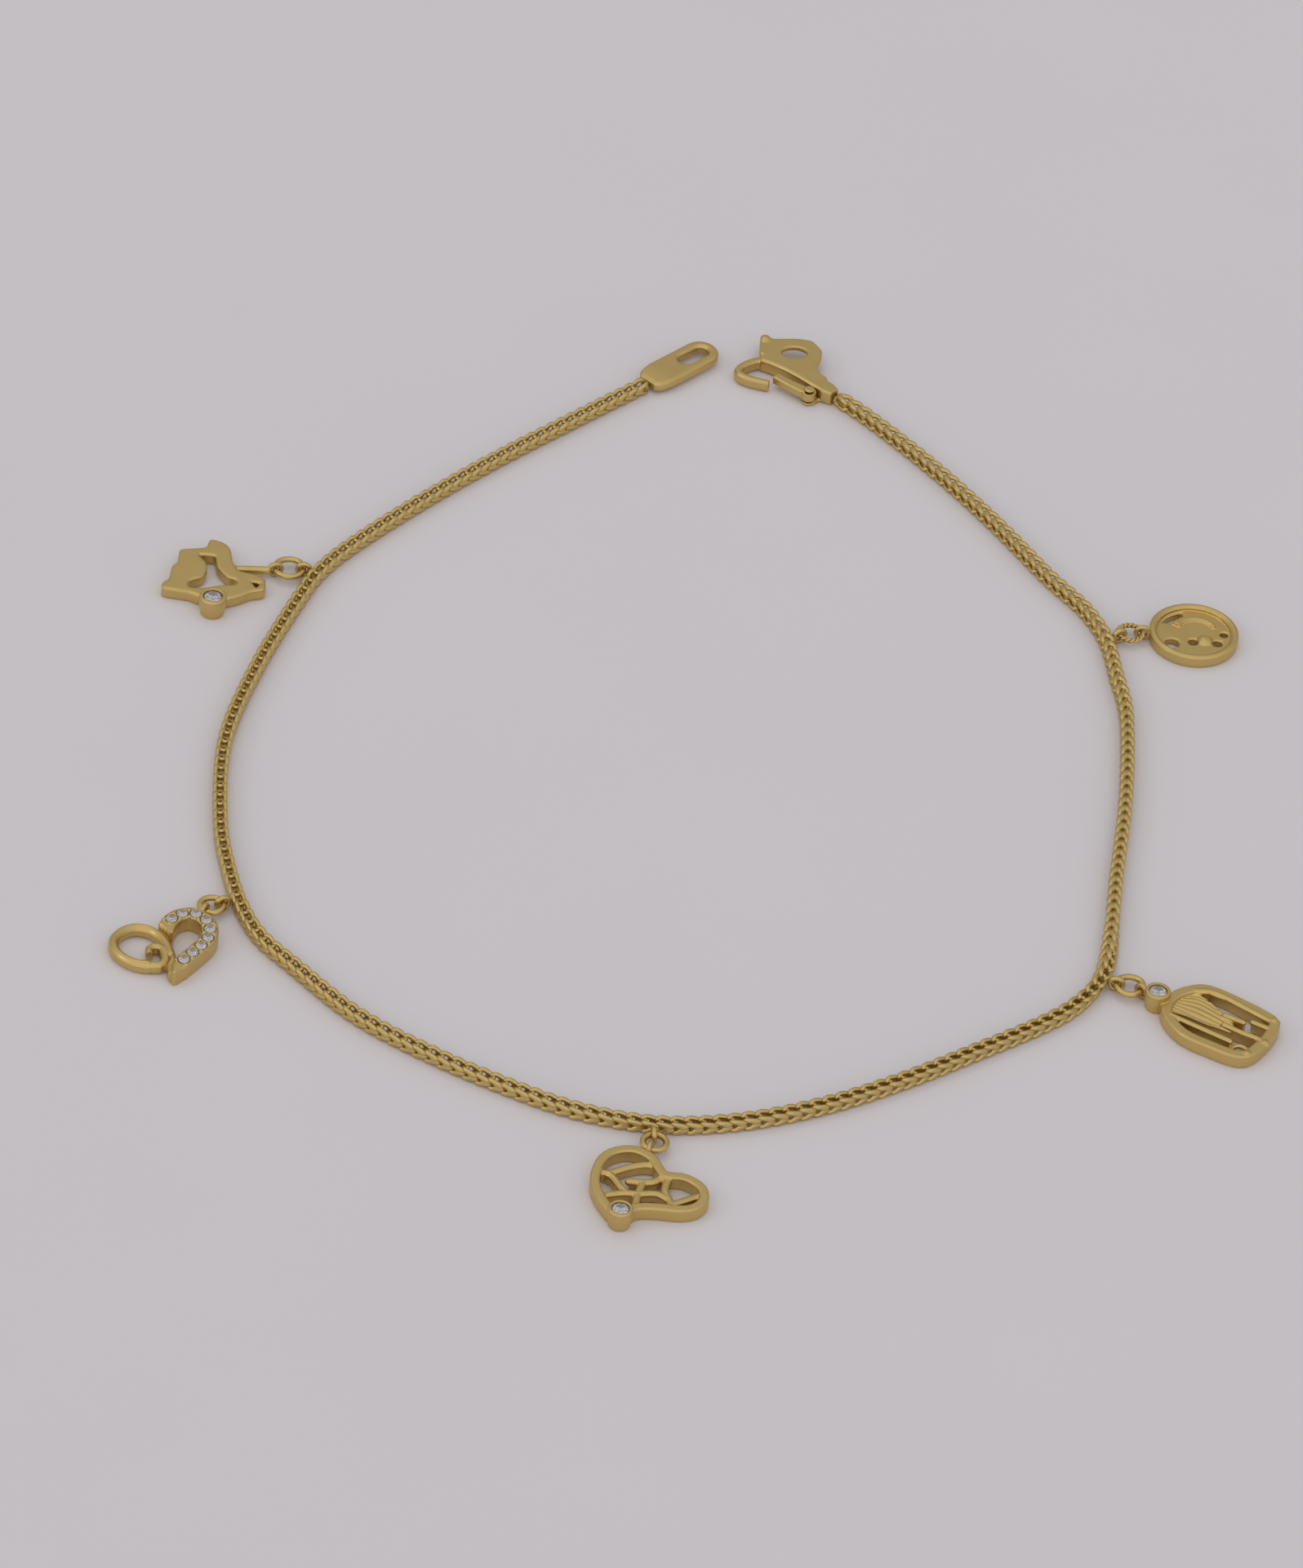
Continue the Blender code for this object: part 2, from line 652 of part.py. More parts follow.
def build_tag(hanger, gold, stone):
    """The oblong openwork tag with a leaf and bars in its frame, under a stone in a cup."""
    outline = smooth_route(scaled(TAG_OUTLINE, TAG_LENGTH)[::-1], 0.09 * TAG_LENGTH, closed=True)
    outline = [tuple(point) for point in outline]
    hole = inset(outline, TAG_RIM_WIDTH)
    charm = plate("tag_charm", outline, [hole], 0, TAG_THICK, gold)
    leaf = plate(
        "leaf", rounded(scaled(TAG_LEAF, TAG_LENGTH), 0.05 * TAG_LENGTH), [], STEP,
        TAG_LEAF_THICK, gold,
    )
    bars = [
        band(f"bar_{number}", scaled(path, TAG_LENGTH), TAG_BAR_WIDTH, STEP * (number + 2),
             TAG_BAR_HEIGHT + STEP * number, gold, edge=0)
        for number, path in enumerate(TAG_BARS)
    ]
    loop = ring("loop", TAG_LOOP / 2, TAG_BAR_WIDTH, gold, 12)
    loop.location = (*(share * TAG_LENGTH for share in TAG_LOOP_AT), TAG_BAR_HEIGHT / 2)
    middle = [share * TAG_LENGTH for share in TAG_CUP_AT]
    setting, girdle = cup(TAG_STONE, TAG_CUP_HEIGHT, middle, gold)
    combine(charm, [leaf, *bars, loop, *bail(0.09 * TAG_LENGTH, gold)], "UNION")
    combine(charm, [well(TAG_STONE, middle, 3 * TAG_THICK, gold)], "DIFFERENCE")
    combine(charm, [setting], "UNION")
    place(charm, hanger.spot, hanger.heading)
    gem = brilliant("tag_stone", TAG_STONE, stone)
    place(gem, spot_on(hanger, middle), hanger.heading, girdle)


# Disc relief and piercings, as shares of its diameter from its middle
DISC_SLOT = (0.28, 0.385)
DISC_PITS = ((-0.26, -0.17, 0.085), (-0.02, -0.14, 0.055), (0.25, -0.16, 0.055), (0.34, 0.0, 0.045))
DISC_BOSS = (0.115, -0.12)


def build_disc(hanger, gold):
    """The round pierced disc with a raised rim, a boss and a raised sweep."""
    radius = DISC_DIAMETER / 2
    middle = EYE_OUTER - EYE_WIRE / 3 + radius
    outline = arc((0, 0), radius, 0, 360, 32)[:-1]
    window = arc((0, 0), radius - DISC_RIM_WIDTH, 0, 360, 32)[:-1]
    face = arc((0, 0), radius - DISC_RIM_WIDTH / 2, 0, 360, 24)[:-1]
    near, far = (share * DISC_DIAMETER for share in DISC_SLOT)
    holes = [arc((0, 0), far, 104, 148, 6) + arc((0, 0), near, 142, 110, 4)]
    for x, y, size in DISC_PITS:
        holes.append(arc((x * DISC_DIAMETER, y * DISC_DIAMETER), size * DISC_DIAMETER, 0, 360, 8)[:-1])
    charm = plate("disc_charm", outline, [window], 0, DISC_RIM_HEIGHT, gold)
    back = plate("face", face, holes, STEP, DISC_PLATE, gold)
    boss = turned(
        "boss",
        ((0, 4 * STEP), (0.085 * DISC_DIAMETER, 4 * STEP), (0.085 * DISC_DIAMETER, 0.72 * DISC_BOSS_HEIGHT),
         (0.05 * DISC_DIAMETER, 0.94 * DISC_BOSS_HEIGHT), (0, DISC_BOSS_HEIGHT)), 12, gold,
    )
    boss.location = (*scaled([DISC_BOSS], DISC_DIAMETER)[0], 0)
    sweep = band(
        "sweep", arc((0.02 * DISC_DIAMETER, 0.02 * DISC_DIAMETER), 0.24 * DISC_DIAMETER, 150, 20, 9),
        0.1 * DISC_DIAMETER, 6 * STEP, DISC_SWEEP_HEIGHT, gold, end_width=0.04 * DISC_DIAMETER,
    )
    combine(charm, [back, boss, sweep], "UNION")
    tools = bail(EYE_OUTER, gold)
    for tool in tools:
        tool.location.x -= middle
    combine(charm, tools, "UNION")
    place(charm, toward(hanger.spot, hanger.heading, middle), hanger.heading)


def build_catch(spot, heading, gold):
    """The long closed loop at the chain's first end."""
    half = CATCH_WIDTH / 2
    start = SOLDER_GAP
    outline = [(start, -0.75 * half), (0.06 * CATCH_LENGTH, -half)]
    outline += arc((CATCH_LENGTH - half, 0), half, -90, 90, 10)
    outline += [(0.06 * CATCH_LENGTH, half), (start, 0.75 * half)]
    slot = CATCH_SLOT_WIDTH / 2
    wall = (CATCH_WIDTH - CATCH_SLOT_WIDTH) / 2
    far = CATCH_LENGTH - wall - slot
    near = far - CATCH_SLOT_LENGTH + CATCH_SLOT_WIDTH
    hole = arc((far, 0), slot, 90, -90, 6) + arc((near, 0), slot, 270, 90, 6)
    top = CATCH_LIFT + CATCH_THICK
    catch = plate("catch_loop", outline, [hole], CATCH_LIFT, top, gold, 2 * EDGE)
    place(catch, spot, heading)


# Clasp paths, as shares of the clasp's length from the end of the chain
CLASP_SPINE = (
    (0.009, 0.02), (0.17, 0.022), (0.34, 0.026), (0.5, 0.035), (0.66, 0.065), (0.79, 0.105),
)
CLASP_HOOK = (
    (0.75, 0.09), (0.81, 0.15), (0.84, 0.25), (0.845, 0.36), (0.8, 0.43), (0.69, 0.42), (0.6, 0.375),
    (0.515, 0.33),
)
CLASP_TAB = (
    (0.2, -0.05), (0.35, -0.12), (0.41, -0.24), (0.5, -0.35), (0.66, -0.39), (0.77, -0.31),
    (0.91, -0.14), (1.0, -0.11), (0.99, -0.05), (0.84, 0.12), (0.7, 0.07), (0.5, 0.035), (0.22, 0.01),
)
CLASP_TAB_HOLE = (0.64, -0.13)
CLASP_TAB_HOLE_SIZE = (0.115, 0.085)
CLASP_TAB_HOLE_TURN = 50
CLASP_KNOB_AT = (0.955, -0.085)
CLASP_PIVOT_BESIDE = (0.17, 0.022)
LEVER_TIP_AT = (0.53, 0.232)
LEVER_BULGE = 0.006


def build_clasp(spot, heading, gold):
    """The claw with its tab, and the sprung lever that closes it."""
    body = band(
        "clasp_body", smooth_route(scaled(CLASP_SPINE, CLASP_LENGTH), 0.1 * CLASP_LENGTH),
        CLASP_SPINE_WIDTH, 0, CLASP_THICK, gold, edge=2 * EDGE,
    )
    hook = band(
        "hook", smooth_route(scaled(CLASP_HOOK, CLASP_LENGTH), 0.06 * CLASP_LENGTH),
        1.2 * CLASP_HOOK_WIDTH, STEP, CLASP_HOOK_HEIGHT, gold, edge=1.5 * EDGE, end_width=CLASP_HOOK_WIDTH,
    )
    hole_middle = scaled([CLASP_TAB_HOLE], CLASP_LENGTH)[0]
    long, short = (share * CLASP_LENGTH for share in CLASP_TAB_HOLE_SIZE)
    turn = radians(CLASP_TAB_HOLE_TURN)
    hole = []
    for x, y in arc((0, 0), 1, 0, 360, 16)[:-1]:
        hole.append((
            hole_middle[0] + long * x * cos(turn) - short * y * sin(turn),
            hole_middle[1] + long * x * sin(turn) + short * y * cos(turn),
        ))
    tab_top = CLASP_THICK - STEP
    tab = plate(
        "tab", rounded(scaled(CLASP_TAB, CLASP_LENGTH), 0.03 * CLASP_LENGTH), [hole],
        tab_top - CLASP_TAB_THICK, tab_top, gold,
    )
    knob = turned(
        "knob",
        ((0, tab_top - CLASP_TAB_THICK + STEP), (CLASP_KNOB / 2, tab_top - CLASP_TAB_THICK + STEP),
         (CLASP_KNOB / 2, tab_top + STEP), (0.3 * CLASP_KNOB, tab_top + 5 * STEP),
         (0, tab_top + 6 * STEP)), 12, gold,
    )
    knob.location = (*scaled([CLASP_KNOB_AT], CLASP_LENGTH)[0], 0)
    eye = CLASP_PIN / 2 + HINGE_GAP + LEVER_EYE_WALL
    beside = scaled([CLASP_PIVOT_BESIDE], CLASP_LENGTH)[0]
    pivot = (beside[0], beside[1] + CLASP_SPINE_WIDTH / 2 + HINGE_GAP + eye)
    lever_bottom = LUG_THICK + HINGE_GAP
    lever_top = lever_bottom + LEVER_THICK
    pin_top = lever_top + HINGE_GAP
    lug = band(
        "lug", [beside, pivot], 2 * eye, 0, LUG_THICK, gold,
    )
    pin = turned(
        "pin",
        ((0, STEP), (0.95 * eye, STEP), (0.95 * eye, LUG_THICK - STEP), (CLASP_PIN / 2, LUG_THICK - STEP),
         (CLASP_PIN / 2, pin_top), (0.8 * eye, pin_top), (0.8 * eye, pin_top + PIN_HEAD_THICK / 2),
         (0.55 * eye, pin_top + PIN_HEAD_THICK), (0, pin_top + PIN_HEAD_THICK)), 12, gold,
    )
    pin.location = (*pivot, 0)
    combine(body, [hook, tab, knob, lug, pin], "UNION")
    place(body, spot, heading)

    tip_width = 0.8 * LEVER_WIDTH
    tip = Vector(scaled([LEVER_TIP_AT], CLASP_LENGTH)[0]) - Vector(pivot)
    bulge = Vector((-tip.y, tip.x)).normalized() * LEVER_BULGE * CLASP_LENGTH
    path = [tip * k / 4 + bulge * sin(pi * k / 4) for k in range(5)]
    lever = band(
        "clasp_lever", path, LEVER_WIDTH, lever_bottom, lever_top, gold, end_width=tip_width,
    )
    knuckle = turned(
        "knuckle",
        ((0, lever_bottom + STEP), (eye, lever_bottom + STEP), (eye, lever_top - STEP),
         (0, lever_top - STEP)), 14, gold,
    )
    combine(lever, [knuckle], "UNION")
    bore_radius = CLASP_PIN / 2 + HINGE_GAP
    bore = turned(
        "bore", ((0, 0), (bore_radius, 0), (bore_radius, 2 * lever_top), (0, 2 * lever_top)), 12, gold,
    )
    combine(lever, [bore], "DIFFERENCE")
    out = toward(spot, heading, pivot[0])
    place(lever, toward(out, heading + pi / 2, pivot[1]), heading)


# Each charm's place: share of the chain from the catch, direction out, jump ring size, turn there, charm's turn
HANGS = {
    "leaf": (0.1578, 182, LEAF_RING, 15, 0),
    "curl_heart": (0.3344, 207, CURL_RING, 30, 10),
    "pierced_heart": (0.503, -82, HEART_RING, -30, 10),
    "tag": (0.6707, -5, TAG_RING, -22, -11),
    "disc": (0.8473, 30, DISC_RING, -15, -8),
}

# How far the catch and the clasp turn from the line of the chain's ends, in degrees
CATCH_TURN = 1
CLASP_TURN = 0


def build_anklet():
    """All of the anklet's pieces."""
    gold = metal("gold", (0.62, 0.42, 0.14), 0.32)
    stone = metal("stone", (0.9, 0.92, 0.95), 0.05, metallic=0.0)
    chain = build_chain(gold)
    hangers = {name: Hanger(name, chain, gold, *row) for name, row in HANGS.items()}
    build_leaf(hangers["leaf"], gold, stone)
    build_curl_heart(hangers["curl_heart"], gold, stone)
    build_pierced_heart(hangers["pierced_heart"], gold, stone)
    build_tag(hangers["tag"], gold, stone)
    build_disc(hangers["disc"], gold)
    start = chain[0] - chain[1]
    end = chain[-1] - chain[-2]
    build_catch(chain[0], atan2(start.y, start.x) + radians(CATCH_TURN), gold)
    build_clasp(chain[-1], atan2(end.y, end.x) + radians(CLASP_TURN), gold)


clear_scene()
build_anklet()
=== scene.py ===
"""The looks of the charm anklet: its woven chain, its cast charms, its stones, the light and the camera."""

from math import atan2, ceil, cos, pi, radians, sin

import bpy
import numpy as np
from mathutils import Matrix, Vector


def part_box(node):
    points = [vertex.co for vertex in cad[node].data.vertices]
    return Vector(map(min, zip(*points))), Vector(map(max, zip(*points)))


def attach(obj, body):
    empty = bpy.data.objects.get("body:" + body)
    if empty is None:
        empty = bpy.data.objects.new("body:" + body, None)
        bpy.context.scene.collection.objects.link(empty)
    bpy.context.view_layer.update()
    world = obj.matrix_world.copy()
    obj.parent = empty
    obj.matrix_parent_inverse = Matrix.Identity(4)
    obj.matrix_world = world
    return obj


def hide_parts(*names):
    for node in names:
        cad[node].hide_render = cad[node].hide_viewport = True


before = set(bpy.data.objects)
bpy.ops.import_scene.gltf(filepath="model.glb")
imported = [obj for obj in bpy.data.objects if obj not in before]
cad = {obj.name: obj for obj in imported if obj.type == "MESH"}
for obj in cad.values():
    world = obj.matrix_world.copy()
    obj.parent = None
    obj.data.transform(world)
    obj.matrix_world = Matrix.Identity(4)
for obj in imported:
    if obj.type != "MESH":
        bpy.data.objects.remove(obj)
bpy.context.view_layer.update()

MM = 0.001

# The middle of the laid anklet, seen from the middle of its chain
ORIGIN_X = 2.61 * MM
ORIGIN_Y = -1.62 * MM

# Sizes that the CAD model has too
CHAIN_WIDTH = 1.15 * MM
SOLDER_GAP = 0.08 * MM
LINK_GAP = 0.12 * MM
EYE_WIRE = 0.34 * MM
RING_WIRE = 0.42 * MM
EYE_RADIUS = (RING_WIRE + EYE_WIRE) / 2 + LINK_GAP
EYE_OUTER = EYE_RADIUS + EYE_WIRE / 2

# Eyes, rings and bails are drawn this much thicker, which is how the photo shows them
SEEN_WIRE = 1.18
WIRE_SIDES = 12
RING_SEGMENTS = 48

# The chain's links: their number, pitch, wire sides and step, where the first and the last one lie, and the
# stretch on which the chain turns on edge, as shares of its length
LINK_COUNT = 220
LINK_PITCH = 1.1 * MM
LINK_SIDES = 8
LINK_STEP = 0.2 * MM
CHAIN_ENDS = (0.2 * MM, 1.45 * MM)
TWIST_FROM = 0.646
TWIST_TO = 0.71

# Steps of the chain's line: for its links, and for what hangs on it, as in the CAD model
CHAIN_STEP = 0.1 * MM
HANG_STEP = 3.2 * MM

# Points that the smooth curves have between two given ones
CURVE_POINTS = 16

# Camera
CAMERA_AT = (-4.44 * MM, -576.03 * MM, 460.26 * MM)
CAMERA_PITCH = radians(38.7975)
CAMERA_ROLL = radians(5.877)
CAMERA_LENS = 216.91
SENSOR_WIDTH = 36.0
NEAREST_SEEN = 0.01

# Soft light: each softbox's name, place, size and power, and the world, brightest along one direction
SOFTBOXES = (
    ("back softbox", (-0.15, 0.45, 0.8), 0.1, 0.2),
    ("left softbox", (-0.8, -0.3, 0.5), 0.12, 0.3),
)
BRIGHT_SIDE = (0.0, -0.8, 0.6)
WORLD_LEVELS = (0.24, 0.81)
WORLD_COLOUR = (1.0, 0.985, 0.99, 1.0)
FLOOR_SIZE = 6.0
FLOOR_DROP = 0.02 * MM

# Gold: pale colour of the painted highlight on raised edges, deep colour of the painted shade and bounce
# light in hollows, smoothest and roughest gloss, scale of its grain, strength of its grain
CAST_GOLD = ((0.66, 0.5, 0.2), (0.72, 0.51, 0.185), 0.34, 0.48, 5200.0, 0.25)
WIRE_GOLD = ((0.68, 0.51, 0.2), (0.68, 0.47, 0.155), 0.28, 0.4, 4200.0, 0.15)
STONE_BENDING = 2.3
STONE_CLEARNESS = 0.85

# Where the chain lies: its centre line in millimetres, from the catch round to the clasp
CHAIN_ROUTE = (
    (-5.6, 46.1), (-11.2, 40.1), (-16.7, 34.1), (-22.0, 27.8), (-27.0, 21.2), (-29.6, 17.0),
    (-31.0, 13.1), (-33.5, 3.8), (-35.1, -5.9), (-34.5, -15.9), (-33.1, -22.3), (-31.8, -26.1),
    (-30.1, -29.2), (-27.3, -32.1), (-22.2, -37.0), (-16.5, -40.5), (-10.6, -43.3), (-4.7, -45.4),
    (1.4, -46.0), (7.4, -44.7), (13.3, -42.0), (19.0, -38.3), (24.5, -34.0), (29.4, -30.0),
    (31.9, -27.4), (33.6, -24.3), (34.3, -20.6), (34.6, -11.8), (35.1, -1.7), (34.9, 8.5),
    (33.9, 13.9), (33.0, 18.2), (31.2, 21.9), (28.2, 25.6), (23.3, 32.5), (18.1, 38.9), (12.5, 44.8),
    (10.0, 46.9),
)

# Each charm's place: share of the chain from the catch, direction out, jump ring size, turn at the ring and
# the charm's own turn, in degrees
HANGS = {
    "leaf": (0.1578, 182, 2.7 * MM, 15, 0),
    "curl_heart": (0.3344, 207, 2.2 * MM, 30, 10),
    "pierced_heart": (0.503, -82, 2.2 * MM, -30, 10),
    "tag": (0.6707, -5, 2.5 * MM, -22, -11),
    "disc": (0.8473, 30, 2.4 * MM, -15, -8),
}


def node(tree, kind, inputs=None, **settings):
    """A shader node with its settings and its inputs' values or links."""
    made = tree.nodes.new(kind)
    for name, value in settings.items():
        setattr(made, name, value)
    for name, value in (inputs or {}).items():
        socket = made.inputs[name]
        if isinstance(value, bpy.types.NodeSocket):
            tree.links.new(value, socket)
        else:
            socket.default_value = value
    return made


def blank(name):
    """A material with only its shader and output, and its tree."""
    made = bpy.data.materials.new(name)
    made.use_nodes = True
    tree = made.node_tree
    return made, tree, tree.nodes["Principled BSDF"]


def gold(name, light, deep, smooth, rough, grain, bump):
    """Cast or drawn gold: a painted shade and bounce light in its hollows, a painted highlight on its raised
    edges, and a fine uneven skin.
    """
    made, tree, shader = blank(name)
    place = node(tree, "ShaderNodeTexCoord").outputs["Object"]
    cloud = node(tree, "ShaderNodeTexNoise", {"Vector": place, "Scale": 700.0, "Detail": 4.0})
    skin = node(tree, "ShaderNodeTexNoise", {"Vector": place, "Scale": grain, "Detail": 3.0})
    edge = node(tree, "ShaderNodeNewGeometry").outputs["Pointiness"]
    # Pointiness mask: hollows get the deep colour as painted shade and bounce light, raised edges get the
    # pale colour as a painted highlight
    painted_light_mask = node(tree, "ShaderNodeMapRange", {"Value": edge, "From Min": 0.42, "From Max": 0.58})
    both = node(
        tree, "ShaderNodeMath", {0: painted_light_mask.outputs["Result"], 1: cloud.outputs["Fac"]}, operation="MULTIPLY",
    )
    share = node(
        tree, "ShaderNodeMapRange", {"Value": both.outputs[0], "From Min": 0.08, "From Max": 0.42},
    )
    colour = node(tree, "ShaderNodeMix", {"Factor": share.outputs["Result"]}, data_type="RGBA")
    colour.inputs["A"].default_value = (*deep, 1.0)
    colour.inputs["B"].default_value = (*light, 1.0)
    levels = {"From Min": 0.35, "From Max": 0.65, "To Min": smooth, "To Max": rough}
    gloss = node(tree, "ShaderNodeMapRange", {"Value": cloud.outputs["Fac"], **levels})
    relief = node(
        tree, "ShaderNodeBump", {"Height": skin.outputs["Fac"], "Strength": bump, "Distance": 0.02 * MM},
    )
    tree.links.new(colour.outputs["Result"], shader.inputs["Base Color"])
    tree.links.new(gloss.outputs["Result"], shader.inputs["Roughness"])
    tree.links.new(relief.outputs["Normal"], shader.inputs["Normal"])
    shader.inputs["Metallic"].default_value = 1.0
    return made


def clear_stone():
    """A white cut stone with its fire painted in as bluish and pinkish tints."""
    made, tree, shader = blank("clear stone")
    place = node(tree, "ShaderNodeTexCoord").outputs["Object"]
    haze = node(tree, "ShaderNodeTexNoise", {"Vector": place, "Scale": 1600.0})
    gloss = node(
        tree, "ShaderNodeMapRange", {"Value": haze.outputs["Fac"], "To Min": 0.0, "To Max": 0.06},
    )
    # Bluish and pinkish tints mixed by noise: the stone's fire, dispersed light painted into its colour
    painted_fire_tint = node(
        tree, "ShaderNodeMapRange", {"Value": haze.outputs["Fac"], "From Min": 0.4, "From Max": 0.6},
    )
    colour = node(tree, "ShaderNodeMix", {"Factor": painted_fire_tint.outputs["Result"]}, data_type="RGBA")
    colour.inputs["A"].default_value = (0.93, 0.95, 1.0, 1.0)
    colour.inputs["B"].default_value = (1.0, 0.95, 0.97, 1.0)
    tree.links.new(colour.outputs["Result"], shader.inputs["Base Color"])
    tree.links.new(gloss.outputs["Result"], shader.inputs["Roughness"])
    shader.inputs["IOR"].default_value = STONE_BENDING
    shader.inputs["Transmission Weight"].default_value = STONE_CLEARNESS
    return made


def floor_paper():
    """The pale matt surface that the anklet lies on."""
    made, tree, shader = blank("pale paper")
    place = node(tree, "ShaderNodeTexCoord").outputs["Object"]
    fibre = node(tree, "ShaderNodeTexNoise", {"Vector": place, "Scale": 40.0, "Detail": 6.0})
    colour = node(tree, "ShaderNodeMix", {"Factor": fibre.outputs["Fac"]}, data_type="RGBA")
    colour.inputs["A"].default_value = (0.8, 0.765, 0.795, 1.0)
    colour.inputs["B"].default_value = (0.82, 0.785, 0.81, 1.0)
    tree.links.new(colour.outputs["Result"], shader.inputs["Base Color"])
    shader.inputs["Roughness"].default_value = 0.9
    return made


def smooth_route(points, gap, closed=False):
    """Evenly spaced points along a smooth curve through the given ones, as an array."""
    count = len(points)
    spans = count if closed else count - 1
    fine = []
    for i in range(spans):
        if closed:
            a, b, c, d = (Vector(points[(i + k) % count]) for k in (-1, 0, 1, 2))
        else:
            a, b, c, d = (Vector(points[min(max(i + k, 0), count - 1)]) for k in (-1, 0, 1, 2))
        for k in range(CURVE_POINTS):
            t = k / CURVE_POINTS
            fine.append(
                0.5 * (2 * b + (c - a) * t + (2 * a - 5 * b + 4 * c - d) * t**2
                       + (3 * b - a - 3 * c + d) * t**3)
            )
    fine.append(Vector(points[0] if closed else points[-1]))
    fine = np.array(fine)
    reach = np.concatenate(([0.0], np.cumsum(np.linalg.norm(np.diff(fine, axis=0), axis=1))))
    steps = max(2, ceil(reach[-1] / gap))
    aims = np.linspace(0.0, reach[-1], steps + 1)
    made = np.stack([np.interp(aims, reach, column) for column in fine.T], axis=1)
    return made[:-1] if closed else made


def linked(name, data):
    """An object of the scene from its data."""
    made = bpy.data.objects.new(name, data)
    bpy.context.scene.collection.objects.link(made)
    return made


def new_piece(name, points, faces, material, smooth=True):
    """A mesh object from an array of points and lists of faces."""
    mesh = bpy.data.meshes.new(name)
    mesh.from_pydata(points.tolist(), [], [[int(v) for v in face] for face in faces])
    mesh.materials.append(material)
    mesh.polygons.foreach_set("use_smooth", [smooth] * len(mesh.polygons))
    return linked(name, mesh)


def loop_faces(rows, sides, closed=True):
    """The faces of a tube of rings of points, each ring after the last."""
    i, k = np.meshgrid(np.arange(rows if closed else rows - 1), np.arange(sides), indexing="ij")
    j = (i + 1) % rows
    m = (k + 1) % sides
    return np.stack([i * sides + k, i * sides + m, j * sides + m, j * sides + k], axis=-1).reshape(-1, 4)


def wire_points(path, wire, sides):
    """The skin of a round wire bent along a closed path."""
    on = np.roll(path, -1, axis=0) - np.roll(path, 1, axis=0)
    on /= np.linalg.norm(on, axis=1)[:, None]
    side = np.zeros_like(path)
    last = np.cross(on[0], (1.0, 0.3, 0.2))
    for i, direction in enumerate(on):
        last = last - direction * last.dot(direction)
        last /= np.linalg.norm(last)
        side[i] = last
    last = last - on[0] * last.dot(on[0])
    off = atan2(np.cross(last, side[0]).dot(on[0]), last.dot(side[0]))
    over = np.cross(on, side)
    turns = 2 * pi * np.arange(sides) / sides + off * np.arange(len(path))[:, None] / len(path)
    out = np.cos(turns)[:, :, None] * side[:, None, :] + np.sin(turns)[:, :, None] * over[:, None, :]
    return (path[:, None, :] + out * (wire / 2)).reshape(-1, 3)


# A quarter of one link in millimetres, from the middle of its fold: along, across, up, half breadth and half
# height of its wire; and the middle of its eye
LINK_QUARTER = (
    (0.0, 0.29, 0.0, 0.17, 0.15), (0.0, 0.21, 0.18, 0.16, 0.15), (0.05, 0.2, 0.33, 0.17, 0.16),
    (0.22, 0.37, 0.39, 0.2, 0.185), (0.5, 0.4, 0.35, 0.18, 0.21), (0.75, 0.4, 0.22, 0.175, 0.29),
    (0.95, 0.4, 0.13, 0.175, 0.3), (1.15, 0.34, 0.14, 0.175, 0.25), (1.3, 0.2, 0.24, 0.165, 0.19),
    (1.38, 0.0, 0.28, 0.165, 0.165),
)
LINK_EYE = 0.7


def link_skin():
    """One link's wire, a loop pinched at its waist and folded in two: its points and faces."""
    path = list(LINK_QUARTER) + [(x, -y, z, *halves) for x, y, z, *halves in LINK_QUARTER[-2::-1]]
    path += [(x, y, -z, *halves) for x, y, z, *halves in path[-2:0:-1]]
    made = smooth_route([[value * MM for value in point] for point in path], LINK_STEP, closed=True)
    line = made[:, :3]
    on = np.roll(line, -1, axis=0) - np.roll(line, 1, axis=0)
    on /= np.linalg.norm(on, axis=1)[:, None]
    out = line * (1, 1, 0) - (LINK_EYE * MM, 0, 0)
    out -= on * (out * on).sum(axis=1)[:, None]
    out /= np.linalg.norm(out, axis=1)[:, None]
    over = np.cross(on, out)
    turns = (2 * pi * (np.arange(LINK_SIDES) + 0.5) / LINK_SIDES)[None, :, None]
    skin = (
        line[:, None, :] + np.cos(turns) * out[:, None, :] * made[:, None, 3:4]
        + np.sin(turns) * over[:, None, :] * made[:, None, 4:5]
    )
    return skin.reshape(-1, 3), loop_faces(len(line), LINK_SIDES)


def chain_line(step):
    """The chain's centre line on the table, with a point at every step."""
    return smooth_route([(x * MM - ORIGIN_X, y * MM - ORIGIN_Y) for x, y in CHAIN_ROUTE], step)


def build_chain(material):
    """All links of the chain, each folded round the next, as one mesh."""
    route = chain_line(CHAIN_STEP)
    reach = np.concatenate(([0.0], np.cumsum(np.linalg.norm(np.diff(route, axis=0), axis=1))))
    first, last = CHAIN_ENDS
    stations = np.linspace(first, reach[-1] - last, LINK_COUNT)
    skin, faces = link_skin()
    points = []
    for station in stations:
        spot = np.array([np.interp(station, reach, column) for column in route.T])
        ahead = np.array([np.interp(station + LINK_PITCH, reach, column) for column in route.T])
        on = (ahead - spot) / np.linalg.norm(ahead - spot)
        share = np.clip((station / reach[-1] - TWIST_FROM) / (TWIST_TO - TWIST_FROM), 0, 1)
        roll = pi / 2 * share * share * (3 - 2 * share)
        along = np.array((*on, 0.0))
        left = np.array((-on[1], on[0], 0.0))
        up = np.array((0.0, 0.0, 1.0))
        across = left * cos(roll) + up * sin(roll)
        rise = up * cos(roll) - left * sin(roll)
        middle = np.array((*spot, CHAIN_WIDTH / 2))
        points.append(middle + skin @ np.array((along, across, rise)))
    count = len(skin)
    all_faces = np.concatenate([faces + count * i for i in range(LINK_COUNT)])
    chain = new_piece("chain_links", np.concatenate(points), all_faces, material)
    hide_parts("chain")
    return chain


def toward(spot, heading, distance):
    """The spot that lies this far off in this direction."""
    return (spot[0] + distance * cos(heading), spot[1] + distance * sin(heading))


def standing(spot, heading, height=0.0):
    """A place on the table, turned about Z."""
    return Matrix.Translation((spot[0], spot[1], height)) @ Matrix.Rotation(heading, 4, "Z")


